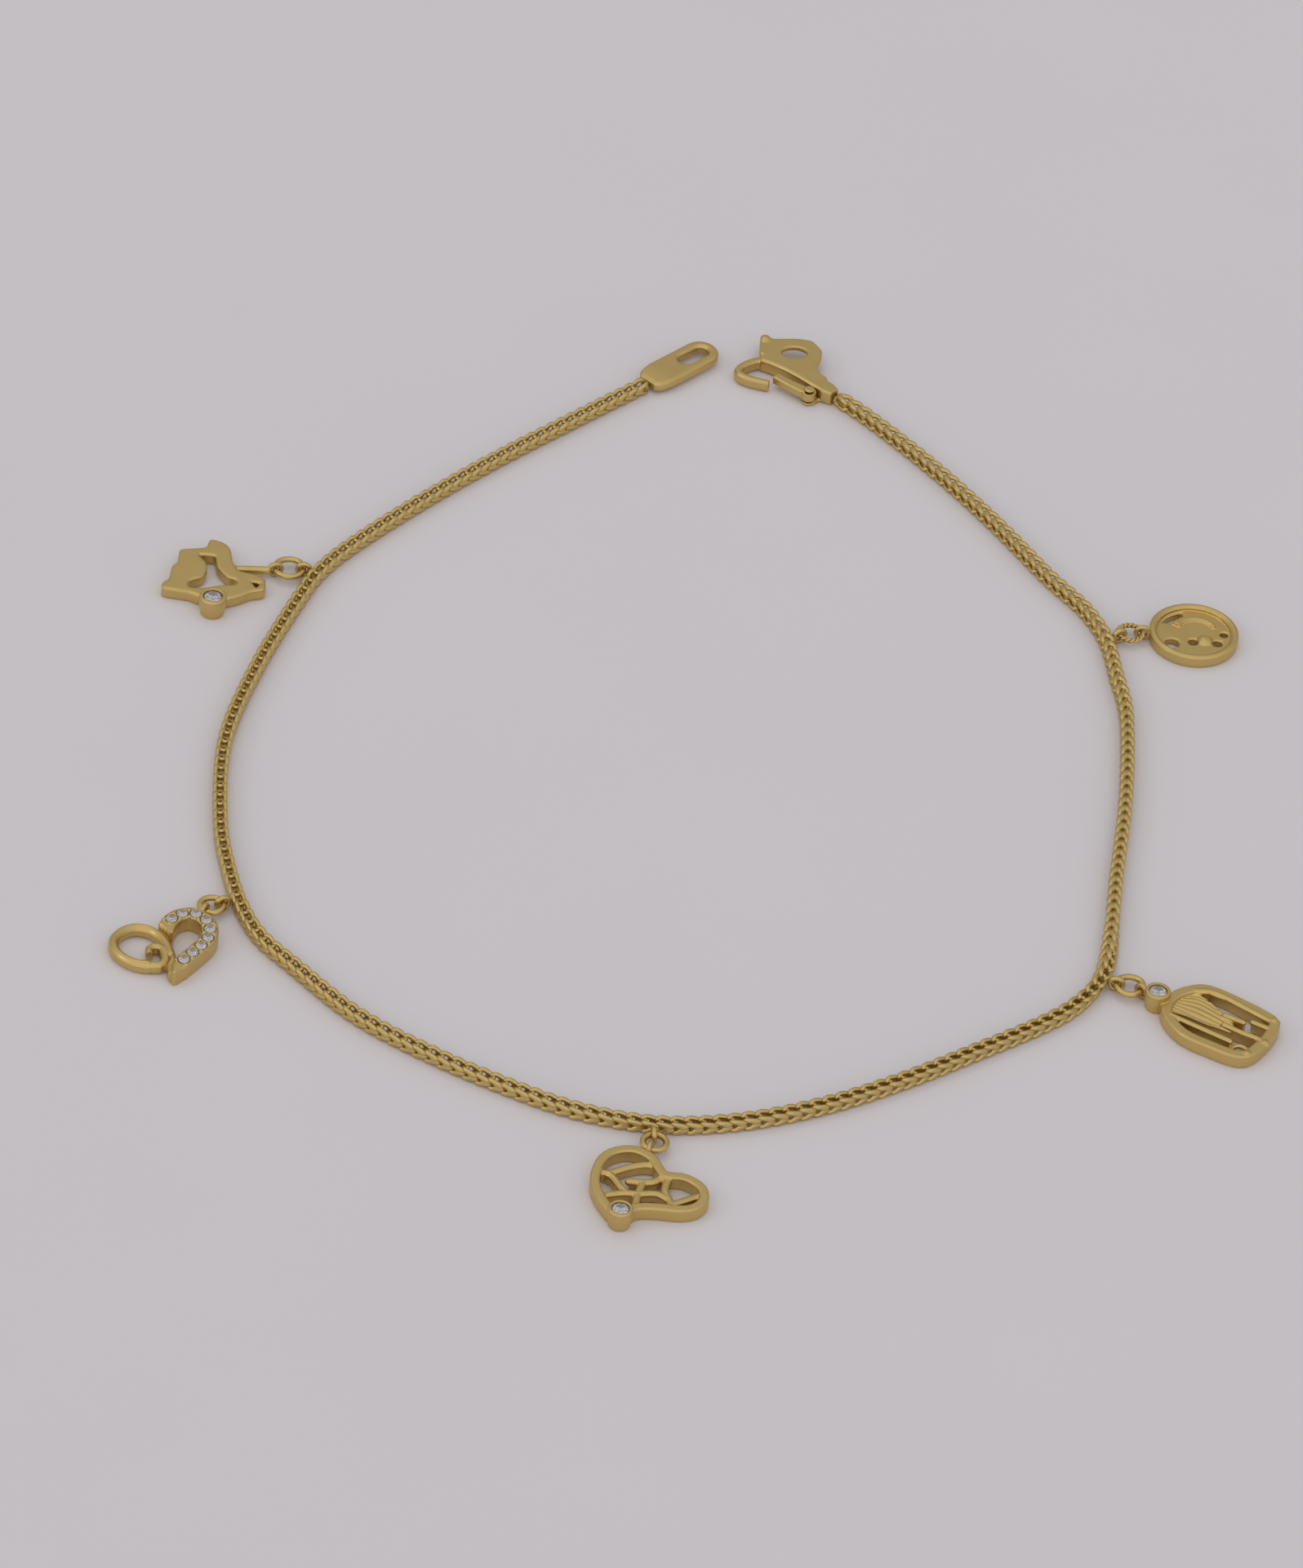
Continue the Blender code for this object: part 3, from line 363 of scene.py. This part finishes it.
class Hanger:
    """Where a charm's eye, jump ring and bail are."""

    def __init__(self, chain, station, heading, ring_size, turn, swing):
        heading = radians(heading)
        reach = station * (len(chain) - 1)
        k = min(int(reach), len(chain) - 2)
        held = chain[k] + (chain[k + 1] - chain[k]) * (reach - k)
        eye_spot = toward(held, heading, CHAIN_WIDTH / 2 + SOLDER_GAP + EYE_OUTER)
        self.eye = standing(eye_spot, heading, EYE_OUTER)
        self.radius = (ring_size - RING_WIRE) / 2
        middle = toward(eye_spot, heading, self.radius)
        self.ring = standing(middle, heading, EYE_OUTER)
        spot = toward(middle, heading + radians(turn), self.radius)
        self.charm = standing(spot, heading + radians(turn + swing))


def torus(radius, wire, segments=40, upright=False, wobble=0.0, seed=0):
    """The points and faces of a slightly uneven wire ring about Z, or standing along X."""
    rng = np.random.default_rng(seed)
    turns = 2 * pi * np.arange(segments) / segments
    phase = rng.uniform(0, 2 * pi, 3)
    uneven = 1 + wobble * sum(np.sin((k + 2) * turns + phase[k]) / (k + 1) for k in range(3))
    path = np.stack([radius * uneven * np.cos(turns), radius * uneven * np.sin(turns), 0 * turns], axis=1)
    points = wire_points(path, wire, WIRE_SIDES)
    if upright:
        points = points[:, (0, 2, 1)]
    return points, loop_faces(segments, WIRE_SIDES)


def moved(points, matrix):
    """Points carried by a matrix."""
    m = np.array(matrix)
    return points @ m[:3, :3].T + m[:3, 3]


# The disc's ring: turns of its two wires round each other, their distance from its middle line and their
# thickness as shares of a plain ring's wire, steps round the ring and sides of each wire
STRAND_TURNS = 8
STRAND_REACH = 0.26 * RING_WIRE
STRAND_WIRE = 0.58 * RING_WIRE
STRAND_STEPS = 120
STRAND_SIDES = 8


def twisted_ring(radius):
    """The points and faces of a jump ring of two thin wires twisted together."""
    points = []
    faces = []
    turns = 2 * pi * np.arange(STRAND_STEPS) / STRAND_STEPS
    for start in (0, pi):
        swing = STRAND_TURNS * turns + start
        reach = radius + STRAND_REACH * np.cos(swing)
        height = STRAND_REACH * np.sin(swing)
        path = np.stack([reach * np.cos(turns), reach * np.sin(turns), height], axis=1)
        faces.append(loop_faces(STRAND_STEPS, STRAND_SIDES) + STRAND_STEPS * STRAND_SIDES * len(points))
        points.append(wire_points(path, STRAND_WIRE, STRAND_SIDES))
    return np.concatenate(points), np.concatenate(faces)


def build_small_rings(hangers, material):
    """The eyes on the chain and the jump rings in them, as round wire."""
    made = []
    for seed, (name, hanger) in enumerate(hangers.items()):
        points, faces = torus(EYE_RADIUS, SEEN_WIRE * EYE_WIRE, upright=True, wobble=0.01, seed=seed)
        eye = new_piece(name + "_wire_eye", moved(points, hanger.eye), faces[:, ::-1], material)
        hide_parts(name + "_eye")
        if name == "disc":
            points, faces = twisted_ring(hanger.radius)
        else:
            points, faces = torus(
                hanger.radius, SEEN_WIRE * RING_WIRE, RING_SEGMENTS, wobble=0.008, seed=10 + seed,
            )
        ring = new_piece(name + "_jump_ring", moved(points, hanger.ring), faces, material)
        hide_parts(name + "_ring")
        made += [eye, ring]
    return made


def fused(name, sources, voxel, passes):
    """Overlapping solids, in millimetres, as one even mesh with softened edges: its points and faces."""
    count = 0
    points = []
    faces = []
    for source_points, source_faces in sources:
        points.append(np.asarray(source_points, float))
        faces += [[int(v) + count for v in face] for face in source_faces]
        count += len(source_points)
    mesh = bpy.data.meshes.new(name)
    mesh.from_pydata(np.concatenate(points).tolist(), [], faces)
    rough = linked(name, mesh)
    change = rough.modifiers.new("fuse", "REMESH")
    change.mode = "VOXEL"
    change.voxel_size = voxel
    soften = rough.modifiers.new("soften", "SMOOTH")
    soften.factor = 0.5
    soften.iterations = passes
    bpy.context.view_layer.update()
    seen = bpy.context.evaluated_depsgraph_get()
    result = bpy.data.meshes.new_from_object(rough.evaluated_get(seen))
    co = np.zeros(len(result.vertices) * 3)
    result.vertices.foreach_get("co", co)
    corners = np.zeros(len(result.loops), int)
    result.loops.foreach_get("vertex_index", corners)
    bpy.data.objects.remove(rough)
    return co.reshape(-1, 3), corners.reshape(-1, 4)


def solid_of(name, matrix):
    """A frame node's own mesh as points and faces, in millimetres of a charm's own frame."""
    mesh = cad[name].data
    co = np.zeros(len(mesh.vertices) * 3)
    mesh.vertices.foreach_get("co", co)
    local = moved(co.reshape(-1, 3), matrix.inverted()) / MM
    welded, places = np.unique(local.round(4), axis=0, return_inverse=True)
    faces = [[int(places.reshape(-1)[v]) for v in polygon.vertices] for polygon in mesh.polygons]
    return welded, [face for face in faces if len(set(face)) == len(face)]


def capped(points, sides):
    """Rings of points as a closed solid with flat ends, as points and faces."""
    faces = [list(face) for face in loop_faces(len(points) // sides, sides, closed=False)]
    faces.append(list(range(sides))[::-1])
    faces.append(list(range(len(points) - sides, len(points))))
    return np.array(points), faces


def rod(path, radius):
    """A straight or bent bar with rounded ends, along an open path."""
    path = np.asarray(path, float)
    on = np.gradient(path, axis=0)
    on /= np.linalg.norm(on, axis=1)[:, None]
    ends = []
    for end, way in ((path[0], -on[0]), (path[-1], on[-1])):
        ends.append([(end + way * radius * sin(t), radius * cos(t)) for t in (pi / 6, pi / 3, 0.47 * pi)])
    rows = ends[0][::-1] + [(spot, radius) for spot in path] + ends[1]
    ways = [on[0]] * 3 + list(on) + [on[-1]] * 3
    points = []
    for (spot, reach), way in zip(rows, ways):
        side = np.cross(way, (0.0, 0.0, 1.0))
        side /= np.linalg.norm(side)
        over = np.cross(way, side)
        for k in range(WIRE_SIDES):
            turn = 2 * pi * k / WIRE_SIDES
            points.append(spot + reach * (side * cos(turn) + over * sin(turn)))
    return capped(points, WIRE_SIDES)


BALL_ROWS = 8


def ball(spot, radius):
    """A bead."""
    points = []
    for i in range(BALL_ROWS):
        turn = pi * (i + 0.5) / BALL_ROWS
        for k in range(WIRE_SIDES):
            around = 2 * pi * k / WIRE_SIDES
            points.append((
                spot[0] + radius * sin(turn) * cos(around), spot[1] + radius * sin(turn) * sin(around),
                spot[2] - radius * cos(turn),
            ))
    return capped(points, WIRE_SIDES)


def prism(outline, low, high):
    """A solid with straight walls on a closed outline, in millimetres."""
    return capped([(x, y, z) for z in (low, high) for x, y in outline], len(outline))


def in_mm(shares, size, height=None):
    """A path of shares of a size in metres, in millimetres, at a height when one is given."""
    size /= MM
    if height is None:
        return np.array([(x * size, y * size) for x, y in shares])
    return np.array([(x * size, y * size, height) for x, y in shares])


def reach_of(points, line):
    """How far each point is from a dense line, seen from above."""
    reach = np.full(len(points), np.inf)
    for spot in line:
        reach = np.minimum(reach, np.hypot(points[:, 0] - spot[0], points[:, 1] - spot[1]))
    return reach


# A round back ends at this share of its half width
DOME_END = 1.15


def domed(points, line, half, top, drop):
    """Points near a line brought down to a round back that is highest on the line."""
    share = np.clip(reach_of(points, line) / half, 0, DOME_END)
    limit = np.where(share < DOME_END, top - drop * share**2, np.inf)
    points = points.copy()
    points[:, 2] = np.minimum(points[:, 2], limit)
    return points


def grooved(points, line, half, depth):
    """Points pressed down along a line, as if engraved."""
    points = points.copy()
    points[:, 2] -= depth * np.exp(-((reach_of(points, line) / half) ** 2))
    return points


DENSE_STEP = 0.06
ROD_STRIDE = 3


def dense(path):
    """A smooth line of many points through a few, in millimetres."""
    return smooth_route([tuple(point) for point in path], DENSE_STEP)


def bent_rod(shares, size, height, radius):
    """A round bar along a smooth path of shares of a size, at a height in millimetres."""
    return rod(dense(in_mm(shares, size, height))[::ROD_STRIDE], radius)


def away_from(points, spot, radius):
    """Which points are farther than this from a spot, seen from above."""
    return np.hypot(points[:, 0] - spot[0], points[:, 1] - spot[1]) > radius


def relaxed(points, faces, passes):
    """Each point drawn halfway to the middle of its neighbours, some times over."""
    faces = np.asarray(faces)
    starts = faces.reshape(-1)
    ends = np.roll(faces, -1, axis=1).reshape(-1)
    count = np.bincount(starts, minlength=len(points))[:, None]
    for _ in range(passes):
        drawn = np.stack([np.bincount(starts, column[ends], len(points)) for column in points.T], axis=1)
        points = (points + drawn / count) / 2
    return points


SCULPT_PASSES = 2


def cast_piece(name, cad_name, matrix, extras, material, voxel=0.06, passes=6, sculpt=None):
    """A frame node cast anew with soft edges and added detail, and then shaped where sculpt moves it."""
    points, faces = fused(name, [solid_of(cad_name, matrix), *extras], voxel, passes)
    if sculpt:
        shaped = sculpt(points)
        moves = abs(shaped - points).sum(axis=1)[:, None] > 0
        points = np.where(moves, relaxed(shaped, faces, SCULPT_PASSES), shaped)
    points[:, 2] = np.maximum(points[:, 2], 0.0)
    made = new_piece(name, moved(points * MM, matrix), faces, material)
    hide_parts(cad_name)
    return made


def bail_wire():
    """The charm's own upright loop, in millimetres."""
    points, faces = torus(EYE_RADIUS / MM, SEEN_WIRE * EYE_WIRE / MM, upright=True)
    points[:, 2] += EYE_OUTER / MM
    return points, faces[:, ::-1]


# The charms' paths are shares of their sizes, from the middle of the bail. Heights and radii are millimetres.

LEAF_WIDTH = 8.3 * MM
LEAF_STEM = ((0.08, 0.0), (0.22, -0.03), (0.41, -0.06))
STEM_HEIGHT = 0.62
STEM_RADIUS = 0.31


def cast_leaf(hanger, material):
    """The leaf with its edges softened as by wear, and its round stem."""
    stem = bent_rod(LEAF_STEM, LEAF_WIDTH, STEM_HEIGHT, STEM_RADIUS)
    return cast_piece(
        "leaf_casting", "leaf_charm", hanger.charm, [bail_wire(), stem], material, passes=12,
    )


# Curl heart: its plain wire's two paths, half width, top and how far its sides drop
CURL_WIDTH = 8.0 * MM
CURL_LOBE = (
    (0.99, 0.21), (0.85, 0.11), (0.74, 0.04), (0.64, -0.05), (0.56, -0.17), (0.53, -0.3),
    (0.57, -0.43), (0.68, -0.51), (0.82, -0.52), (0.94, -0.45), (1.01, -0.32), (1.02, -0.16),
    (0.98, -0.05),
)
CURL_END = (
    (1.0, -0.12), (0.94, 0.02), (0.85, 0.04), (0.76, -0.01), (0.7, -0.08), (0.72, -0.15),
    (0.78, -0.17), (0.84, -0.13),
)
CURL_ROUND = (0.4, 1.05, 0.36)

# Its band of stones: the path, and the tip's half widths at shares of the path; the tip is low where the last
# stone sits and full past it
SET_BAND = (
    (0.56, -0.12), (0.43, -0.16), (0.3, -0.15), (0.19, -0.07), (0.17, 0.05), (0.22, 0.16),
    (0.33, 0.24), (0.45, 0.27), (0.59, 0.26), (0.73, 0.24), (0.88, 0.22), (1.03, 0.235),
)
SET_TIP = ((0.8, 0.64), (0.9, 0.62), (1.0, 0.14))
TIP_LOW = 0.6
TIP_FULL = 1.24
PAST_STONE = 0.46

# Beads between the stones and before the first: height, radius, distance to the side and on from the stone
BEAD_HEIGHT = 1.36
BEAD_RADIUS = 0.17
BEAD_SIDE = 0.37
END_BEAD_RADIUS = 0.15
END_BEAD_SIDE = 0.3
END_BEAD_ON = 0.45


def band_edge(row, start):
    """The outline of the set band's tapering end, from a share of its length on."""
    tip = row[round(start * len(row)):]
    half = np.interp(np.linspace(start, 1, len(tip)), *zip(*SET_TIP))[:, None]
    on = np.gradient(tip, axis=0)
    side = np.stack([-on[:, 1], on[:, 0]], axis=1) / np.linalg.norm(on, axis=1)[:, None]
    return np.concatenate([tip - side * half, (tip + side * half)[::-1]])[::2]


def cast_curl_heart(hanger, material):
    """The curled heart with a round plain wire, and beads that hold its stones."""
    plain = np.concatenate([dense(in_mm(path, CURL_WIDTH)) for path in (CURL_LOBE[2:], CURL_END)])
    back = hanger.charm.inverted()
    spots = []
    while f"curl_stone_{len(spots) + 1}" in cad:
        low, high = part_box(f"curl_stone_{len(spots) + 1}")
        spots.append(np.array(back @ ((Vector(low) + Vector(high)) / 2)) / MM)
    row = dense(in_mm(SET_BAND, CURL_WIDTH))
    past = np.hypot(*(row - spots[-1][:2]).T).argmin() + round(PAST_STONE / np.hypot(*(row[1] - row[0])))
    beads = [
        bail_wire(), prism(band_edge(row, SET_TIP[0][0]), 0.0, TIP_LOW),
        prism(band_edge(row, past / len(row)), 0.0, TIP_FULL),
    ]
    for here, there in zip(spots, spots[1:]):
        on = (there - here)[:2] / np.linalg.norm((there - here)[:2])
        middle = (here + there)[:2] / 2
        for way in (-1, 1):
            x, y = middle + way * BEAD_SIDE * np.array((-on[1], on[0]))
            beads.append(ball((x, y, BEAD_HEIGHT), BEAD_RADIUS))
    first = (spots[0] - spots[1])[:2]
    first /= np.linalg.norm(first)
    for way in (-1, 1):
        x, y = spots[0][:2] + END_BEAD_ON * first + way * END_BEAD_SIDE * np.array((-first[1], first[0]))
        beads.append(ball((x, y, BEAD_HEIGHT), END_BEAD_RADIUS))
    return cast_piece(
        "curl_heart_casting", "curl_heart_charm", hanger.charm, beads, material, voxel=0.045, passes=8,
        sculpt=lambda points: domed(points, plain, *CURL_ROUND),
    )


# Pierced heart: its ribs, and their height and radius
HEART_WIDTH = 8.4 * MM
RIB_HEIGHT = 0.7
RIB_RADIUS = 0.33
HEART_RIBS = (
    ((0.47, -0.34), (0.47, -0.23), (0.6, -0.09), (0.65, -0.02)),
    ((0.77, -0.23), (0.69, -0.11), (0.65, -0.02), (0.63, 0.07)),
    ((0.46, -0.25), (0.33, -0.12), (0.25, -0.01), (0.22, 0.07), (0.25, 0.16)),
    ((0.49, -0.05), (0.44, 0.13), (0.36, 0.2), (0.3, 0.25)),
    ((0.46, 0.07), (0.64, 0.07), (0.84, 0.1)),
    ((0.63, 0.07), (0.57, 0.22), (0.61, 0.35)),
    ((0.34, 0.27), (0.5, 0.28), (0.64, 0.37), (0.74, 0.4)),
    ((0.67, 0.38), (0.58, 0.47), (0.47, 0.58)),
)


def cast_pierced_heart(hanger, material):
    """The heart with a soft rim and round bright ribs."""
    ribs = [bent_rod(path, HEART_WIDTH, RIB_HEIGHT, RIB_RADIUS) for path in HEART_RIBS]
    return cast_piece(
        "pierced_heart_casting", "pierced_heart_charm", hanger.charm, [bail_wire(), *ribs], material,
        voxel=0.05, passes=9,
    )


# Tag: its bars, knobs and veins, their heights and radii, and the heights between which its leaf is engraved
TAG_LENGTH = 8.2 * MM
BAR_HEIGHT = 0.95
BAR_RADIUS = 0.24
KNOB_HEIGHT = 0.85
KNOB_RADIUS = 0.42
VEIN_HALF = 0.1
VEIN_DEPTH = 0.12
TAG_LEAF_TOP = (0.7, 0.94)
TAG_BARS = (
    ((0.37, 0.33), (0.47, 0.42), (0.65, 0.465), (1.12, 0.505)),
    ((0.42, -0.11), (0.75, -0.05), (1.06, 0.01)),
    ((0.86, 0.15), (1.04, 0.18), (1.18, 0.22), (1.29, 0.22)),
    ((0.78, 0.26), (0.98, 0.31)),
    ((1.02, 0.37), (1.2, 0.41)),
)
TAG_KNOBS = ((1.15, 0.53), (1.29, 0.22), (1.27, -0.02))
TAG_VEINS = (
    ((0.38, -0.02), (0.54, 0.035), (0.75, 0.08)), ((0.34, 0.02), (0.6, 0.07), (0.93, 0.14)),
    ((0.34, 0.06), (0.6, 0.13), (0.95, 0.165)), ((0.34, 0.1), (0.55, 0.19), (0.9, 0.21)),
    ((0.34, 0.14), (0.5, 0.24), (0.8, 0.255)), ((0.34, 0.19), (0.46, 0.28), (0.66, 0.29)),
    ((0.36, 0.25), (0.44, 0.31), (0.54, 0.33)),
)


def cast_tag(hanger, material):
    """The tag with a soft frame, round bars and knobs, and an engraved leaf."""
    bars = [bent_rod(path, TAG_LENGTH, BAR_HEIGHT, BAR_RADIUS) for path in TAG_BARS]
    for spot in in_mm(TAG_KNOBS, TAG_LENGTH, KNOB_HEIGHT):
        bars.append(ball(spot, KNOB_RADIUS))
    veins = [dense(in_mm(path, TAG_LENGTH)) for path in TAG_VEINS]

    def sculpt(points):
        """The engraved lines, on the leaf alone."""
        on_leaf = (points[:, 2] > TAG_LEAF_TOP[0]) & (points[:, 2] < TAG_LEAF_TOP[1])
        carved = points
        for vein in veins:
            carved = grooved(carved, vein, VEIN_HALF, VEIN_DEPTH)
        return np.where(on_leaf[:, None], carved, points)

    return cast_piece(
        "tag_casting", "tag_charm", hanger.charm, [bail_wire(), *bars], material, voxel=0.05, passes=7,
        sculpt=sculpt,
    )


# Disc: its rim's half width, top and how far its sides drop
DISC_DIAMETER = 7.2 * MM
DISC_RIM_WIDTH = 0.6 * MM
DISC_ROUND = (0.34, 1.05, 0.22)
RIM_POINTS = 240


def cast_disc(hanger, material):
    """The disc with its rolled rim."""
    middle = (EYE_OUTER - EYE_WIRE / 3 + DISC_DIAMETER / 2) / MM
    reach = (DISC_DIAMETER - DISC_RIM_WIDTH) / 2 / MM
    turns = np.linspace(0, 2 * pi, RIM_POINTS)
    rim = np.stack([middle + reach * np.cos(turns), reach * np.sin(turns)], axis=1)
    return cast_piece(
        "disc_casting", "disc_charm", hanger.charm, [bail_wire()], material, voxel=0.055, passes=6,
        sculpt=lambda points: domed(points, rim, *DISC_ROUND),
    )


# The catch turns a little from the chain's line, in degrees, and narrows and drops to shares of its width and
# height over a length next to the chain
CATCH_TURN = 1
CATCH_LENGTH = 1.9
CATCH_NARROW = 0.74
CATCH_DROP = 0.9

# Clasp: the seam along its spine, its flat top, where its pin and knob stand out and how far around, and the
# length on which it narrows to a share of its width about a middle line
CLASP_LENGTH = 9.2 * MM
CLASP_SEAM = ((0.2, -0.06), (0.34, -0.058), (0.47, -0.052), (0.55, -0.045))
SEAM_HEIGHT = 1.12
SEAM_RADIUS = 0.22
CLASP_TOP = 1.31
PIN_AT = (1.56, 1.68)
PIN_REACH = 0.62
KNOB_AT = (8.79, -0.78)
KNOB_REACH = 0.6
CLASP_END = 0.85
CLASP_NARROW = 0.66
CLASP_MIDDLE = 0.2


def shape_clasp(points):
    """The clasp's flat top, with its pin and knob left as they are, and its end that narrows to the chain."""
    shaped = points.copy()
    flat = away_from(points, PIN_AT, PIN_REACH) & away_from(points, KNOB_AT, KNOB_REACH)
    shaped[:, 2] = np.where(flat, np.minimum(points[:, 2], CLASP_TOP), points[:, 2])
    narrow = CLASP_NARROW + (1 - CLASP_NARROW) * np.clip(points[:, 0] / CLASP_END, 0, 1)
    nearer = CLASP_MIDDLE + (points[:, 1] - CLASP_MIDDLE) * narrow
    shaped[:, 1] = np.where(points[:, 0] < CLASP_END, nearer, points[:, 1])
    return shaped


def shape_catch(points):
    """The catch's end that narrows and drops a little to the chain."""
    grow = np.sin(np.clip(points[:, 0] / CATCH_LENGTH, 0, 1) * pi / 2)
    shaped = points.copy()
    shaped[:, 1] *= CATCH_NARROW + (1 - CATCH_NARROW) * grow
    shaped[:, 2] *= CATCH_DROP + (1 - CATCH_DROP) * grow
    return shaped


def cast_ends(route, material):
    """The catch and the clasp's body, and the lever, which rides its own body."""
    first = route[0] - route[1]
    last = route[-1] - route[-2]
    catch = standing(route[0], atan2(first[1], first[0]) + radians(CATCH_TURN))
    clasp = standing(route[-1], atan2(last[1], last[0]))
    seam = rod(in_mm(CLASP_SEAM, CLASP_LENGTH, SEAM_HEIGHT), SEAM_RADIUS)
    made = [
        cast_piece("catch_casting", "catch_loop", catch, [], material, passes=14, sculpt=shape_catch),
        cast_piece("clasp_casting", "clasp_body", clasp, [seam], material, passes=14, sculpt=shape_clasp),
    ]
    lever = cast_piece("lever_casting", "clasp_lever", clasp, [], material, voxel=0.04, passes=5)
    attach(lever, "lever")
    return made


# A cut stone of unit diameter: radius, height, number and turn of each ring of corners, from the table down;
# the depth of its tip and its whole height; and its size as a share of the stone in the CAD model
STONE_RINGS = (
    (0.29, 0.155, 8, 0.0), (0.4, 0.1, 8, 0.5), (0.5, 0.02, 16, 0.0), (0.5, -0.02, 16, 0.0),
    (0.24, -0.24, 8, 0.5),
)
STONE_DEPTH = 0.42
STONE_HEIGHT = 0.59
STONE_SIZE = 0.99


def brilliant_mesh():
    """A round brilliant of unit diameter, girdle at z = 0: its points and flat faces."""
    points = []
    starts = []
    for radius, height, count, shift in STONE_RINGS:
        starts.append(len(points))
        for i in range(count):
            turn = 2 * pi * (i + shift) / count
            points.append((radius * cos(turn), radius * sin(turn), height))
    table, star, upper, lower, waist = starts
    culet = len(points)
    points.append((0.0, 0.0, -STONE_DEPTH))
    faces = [list(range(table, table + 8))]
    for i in range(8):
        j = (i + 1) % 8
        before = (i - 1) % 8
        faces.append([table + j, table + i, star + i])
        faces.append([star + i, table + i, star + before, upper + 2 * i])
        faces.append([star + i, upper + 2 * i, upper + 2 * i + 1])
        faces.append([star + i, upper + 2 * i + 1, upper + (2 * i + 2) % 16])
        faces.append([waist + i, lower + 2 * i + 1, lower + 2 * i])
        faces.append([waist + i, lower + (2 * i + 2) % 16, lower + 2 * i + 1])
        faces.append([waist + i, lower + 2 * i, waist + before, culet])
    for i in range(16):
        j = (i + 1) % 16
        faces.append([upper + i, lower + i, lower + j, upper + j])
    return np.array(points), faces


def build_stones(hangers, material):
    """Every cut stone, where the frame has it."""
    points, faces = brilliant_mesh()
    made = []
    for name in sorted(cad):
        if "stone" not in name:
            continue
        low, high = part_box(name)
        size = max(high.x - low.x, high.y - low.y) * STONE_SIZE
        girdle = low.z + STONE_DEPTH * (high.z - low.z) / STONE_HEIGHT
        spot = ((low.x + high.x) / 2, (low.y + high.y) / 2, girdle)
        stone = new_piece(name + "_cut", points * size + spot, faces, material, smooth=False)
        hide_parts(name)
        made.append(stone)
    return made


def build_stage():
    """Floor, camera, lights and the soft light all round."""
    bpy.ops.mesh.primitive_plane_add(size=FLOOR_SIZE, location=(0, 0, -FLOOR_DROP))
    floor = bpy.context.object
    floor.name = "floor"
    floor.data.materials.append(floor_paper())
    lens = bpy.data.cameras.new("camera")
    lens.lens = CAMERA_LENS
    lens.sensor_width = SENSOR_WIDTH
    lens.clip_start = NEAREST_SEEN
    camera = linked("camera", lens)
    camera.matrix_world = (
        Matrix.Translation(CAMERA_AT) @ Matrix.Rotation(pi / 2 - CAMERA_PITCH, 4, "X")
        @ Matrix.Rotation(CAMERA_ROLL, 4, "Z")
    )
    bpy.context.scene.camera = camera
    for name, spot, size, power in SOFTBOXES:
        lamp = bpy.data.lights.new(name, "AREA")
        lamp.shape = "SQUARE"
        lamp.size = size
        lamp.energy = power
        holder = linked(name, lamp)
        holder.location = spot
        holder.rotation_euler = (-Vector(spot)).to_track_quat("-Z", "Y").to_euler()
    world = bpy.data.worlds.new("studio")
    bpy.context.scene.world = world
    world.use_nodes = True
    tree = world.node_tree
    direction = node(tree, "ShaderNodeTexCoord").outputs["Generated"]
    lean = node(tree, "ShaderNodeVectorMath", {0: direction, 1: BRIGHT_SIDE}, operation="DOT_PRODUCT")
    low, high = WORLD_LEVELS
    level = node(
        tree, "ShaderNodeMapRange",
        {"Value": lean.outputs["Value"], "From Min": -1.0, "From Max": 1.0, "To Min": low, "To Max": high},
    )
    background = tree.nodes["Background"]
    background.inputs["Color"].default_value = WORLD_COLOUR
    tree.links.new(level.outputs["Result"], background.inputs["Strength"])
    bpy.context.scene.view_settings.view_transform = "Standard"


def dress():
    """Puts every piece on its body."""
    cast_gold = gold("cast gold", *CAST_GOLD)
    wire_gold = gold("wire gold", *WIRE_GOLD)
    stone = clear_stone()
    route = chain_line(HANG_STEP)
    hangers = {name: Hanger(route, *row) for name, row in HANGS.items()}
    pieces = [build_chain(wire_gold)]
    pieces += build_small_rings(hangers, wire_gold)
    pieces += [
        cast_leaf(hangers["leaf"], cast_gold), cast_curl_heart(hangers["curl_heart"], cast_gold),
        cast_pierced_heart(hangers["pierced_heart"], cast_gold), cast_tag(hangers["tag"], cast_gold),
        cast_disc(hangers["disc"], cast_gold),
    ]
    pieces += cast_ends(route, cast_gold)
    pieces += build_stones(hangers, stone)
    for piece in pieces:
        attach(piece, "anklet")


dress()
build_stage()
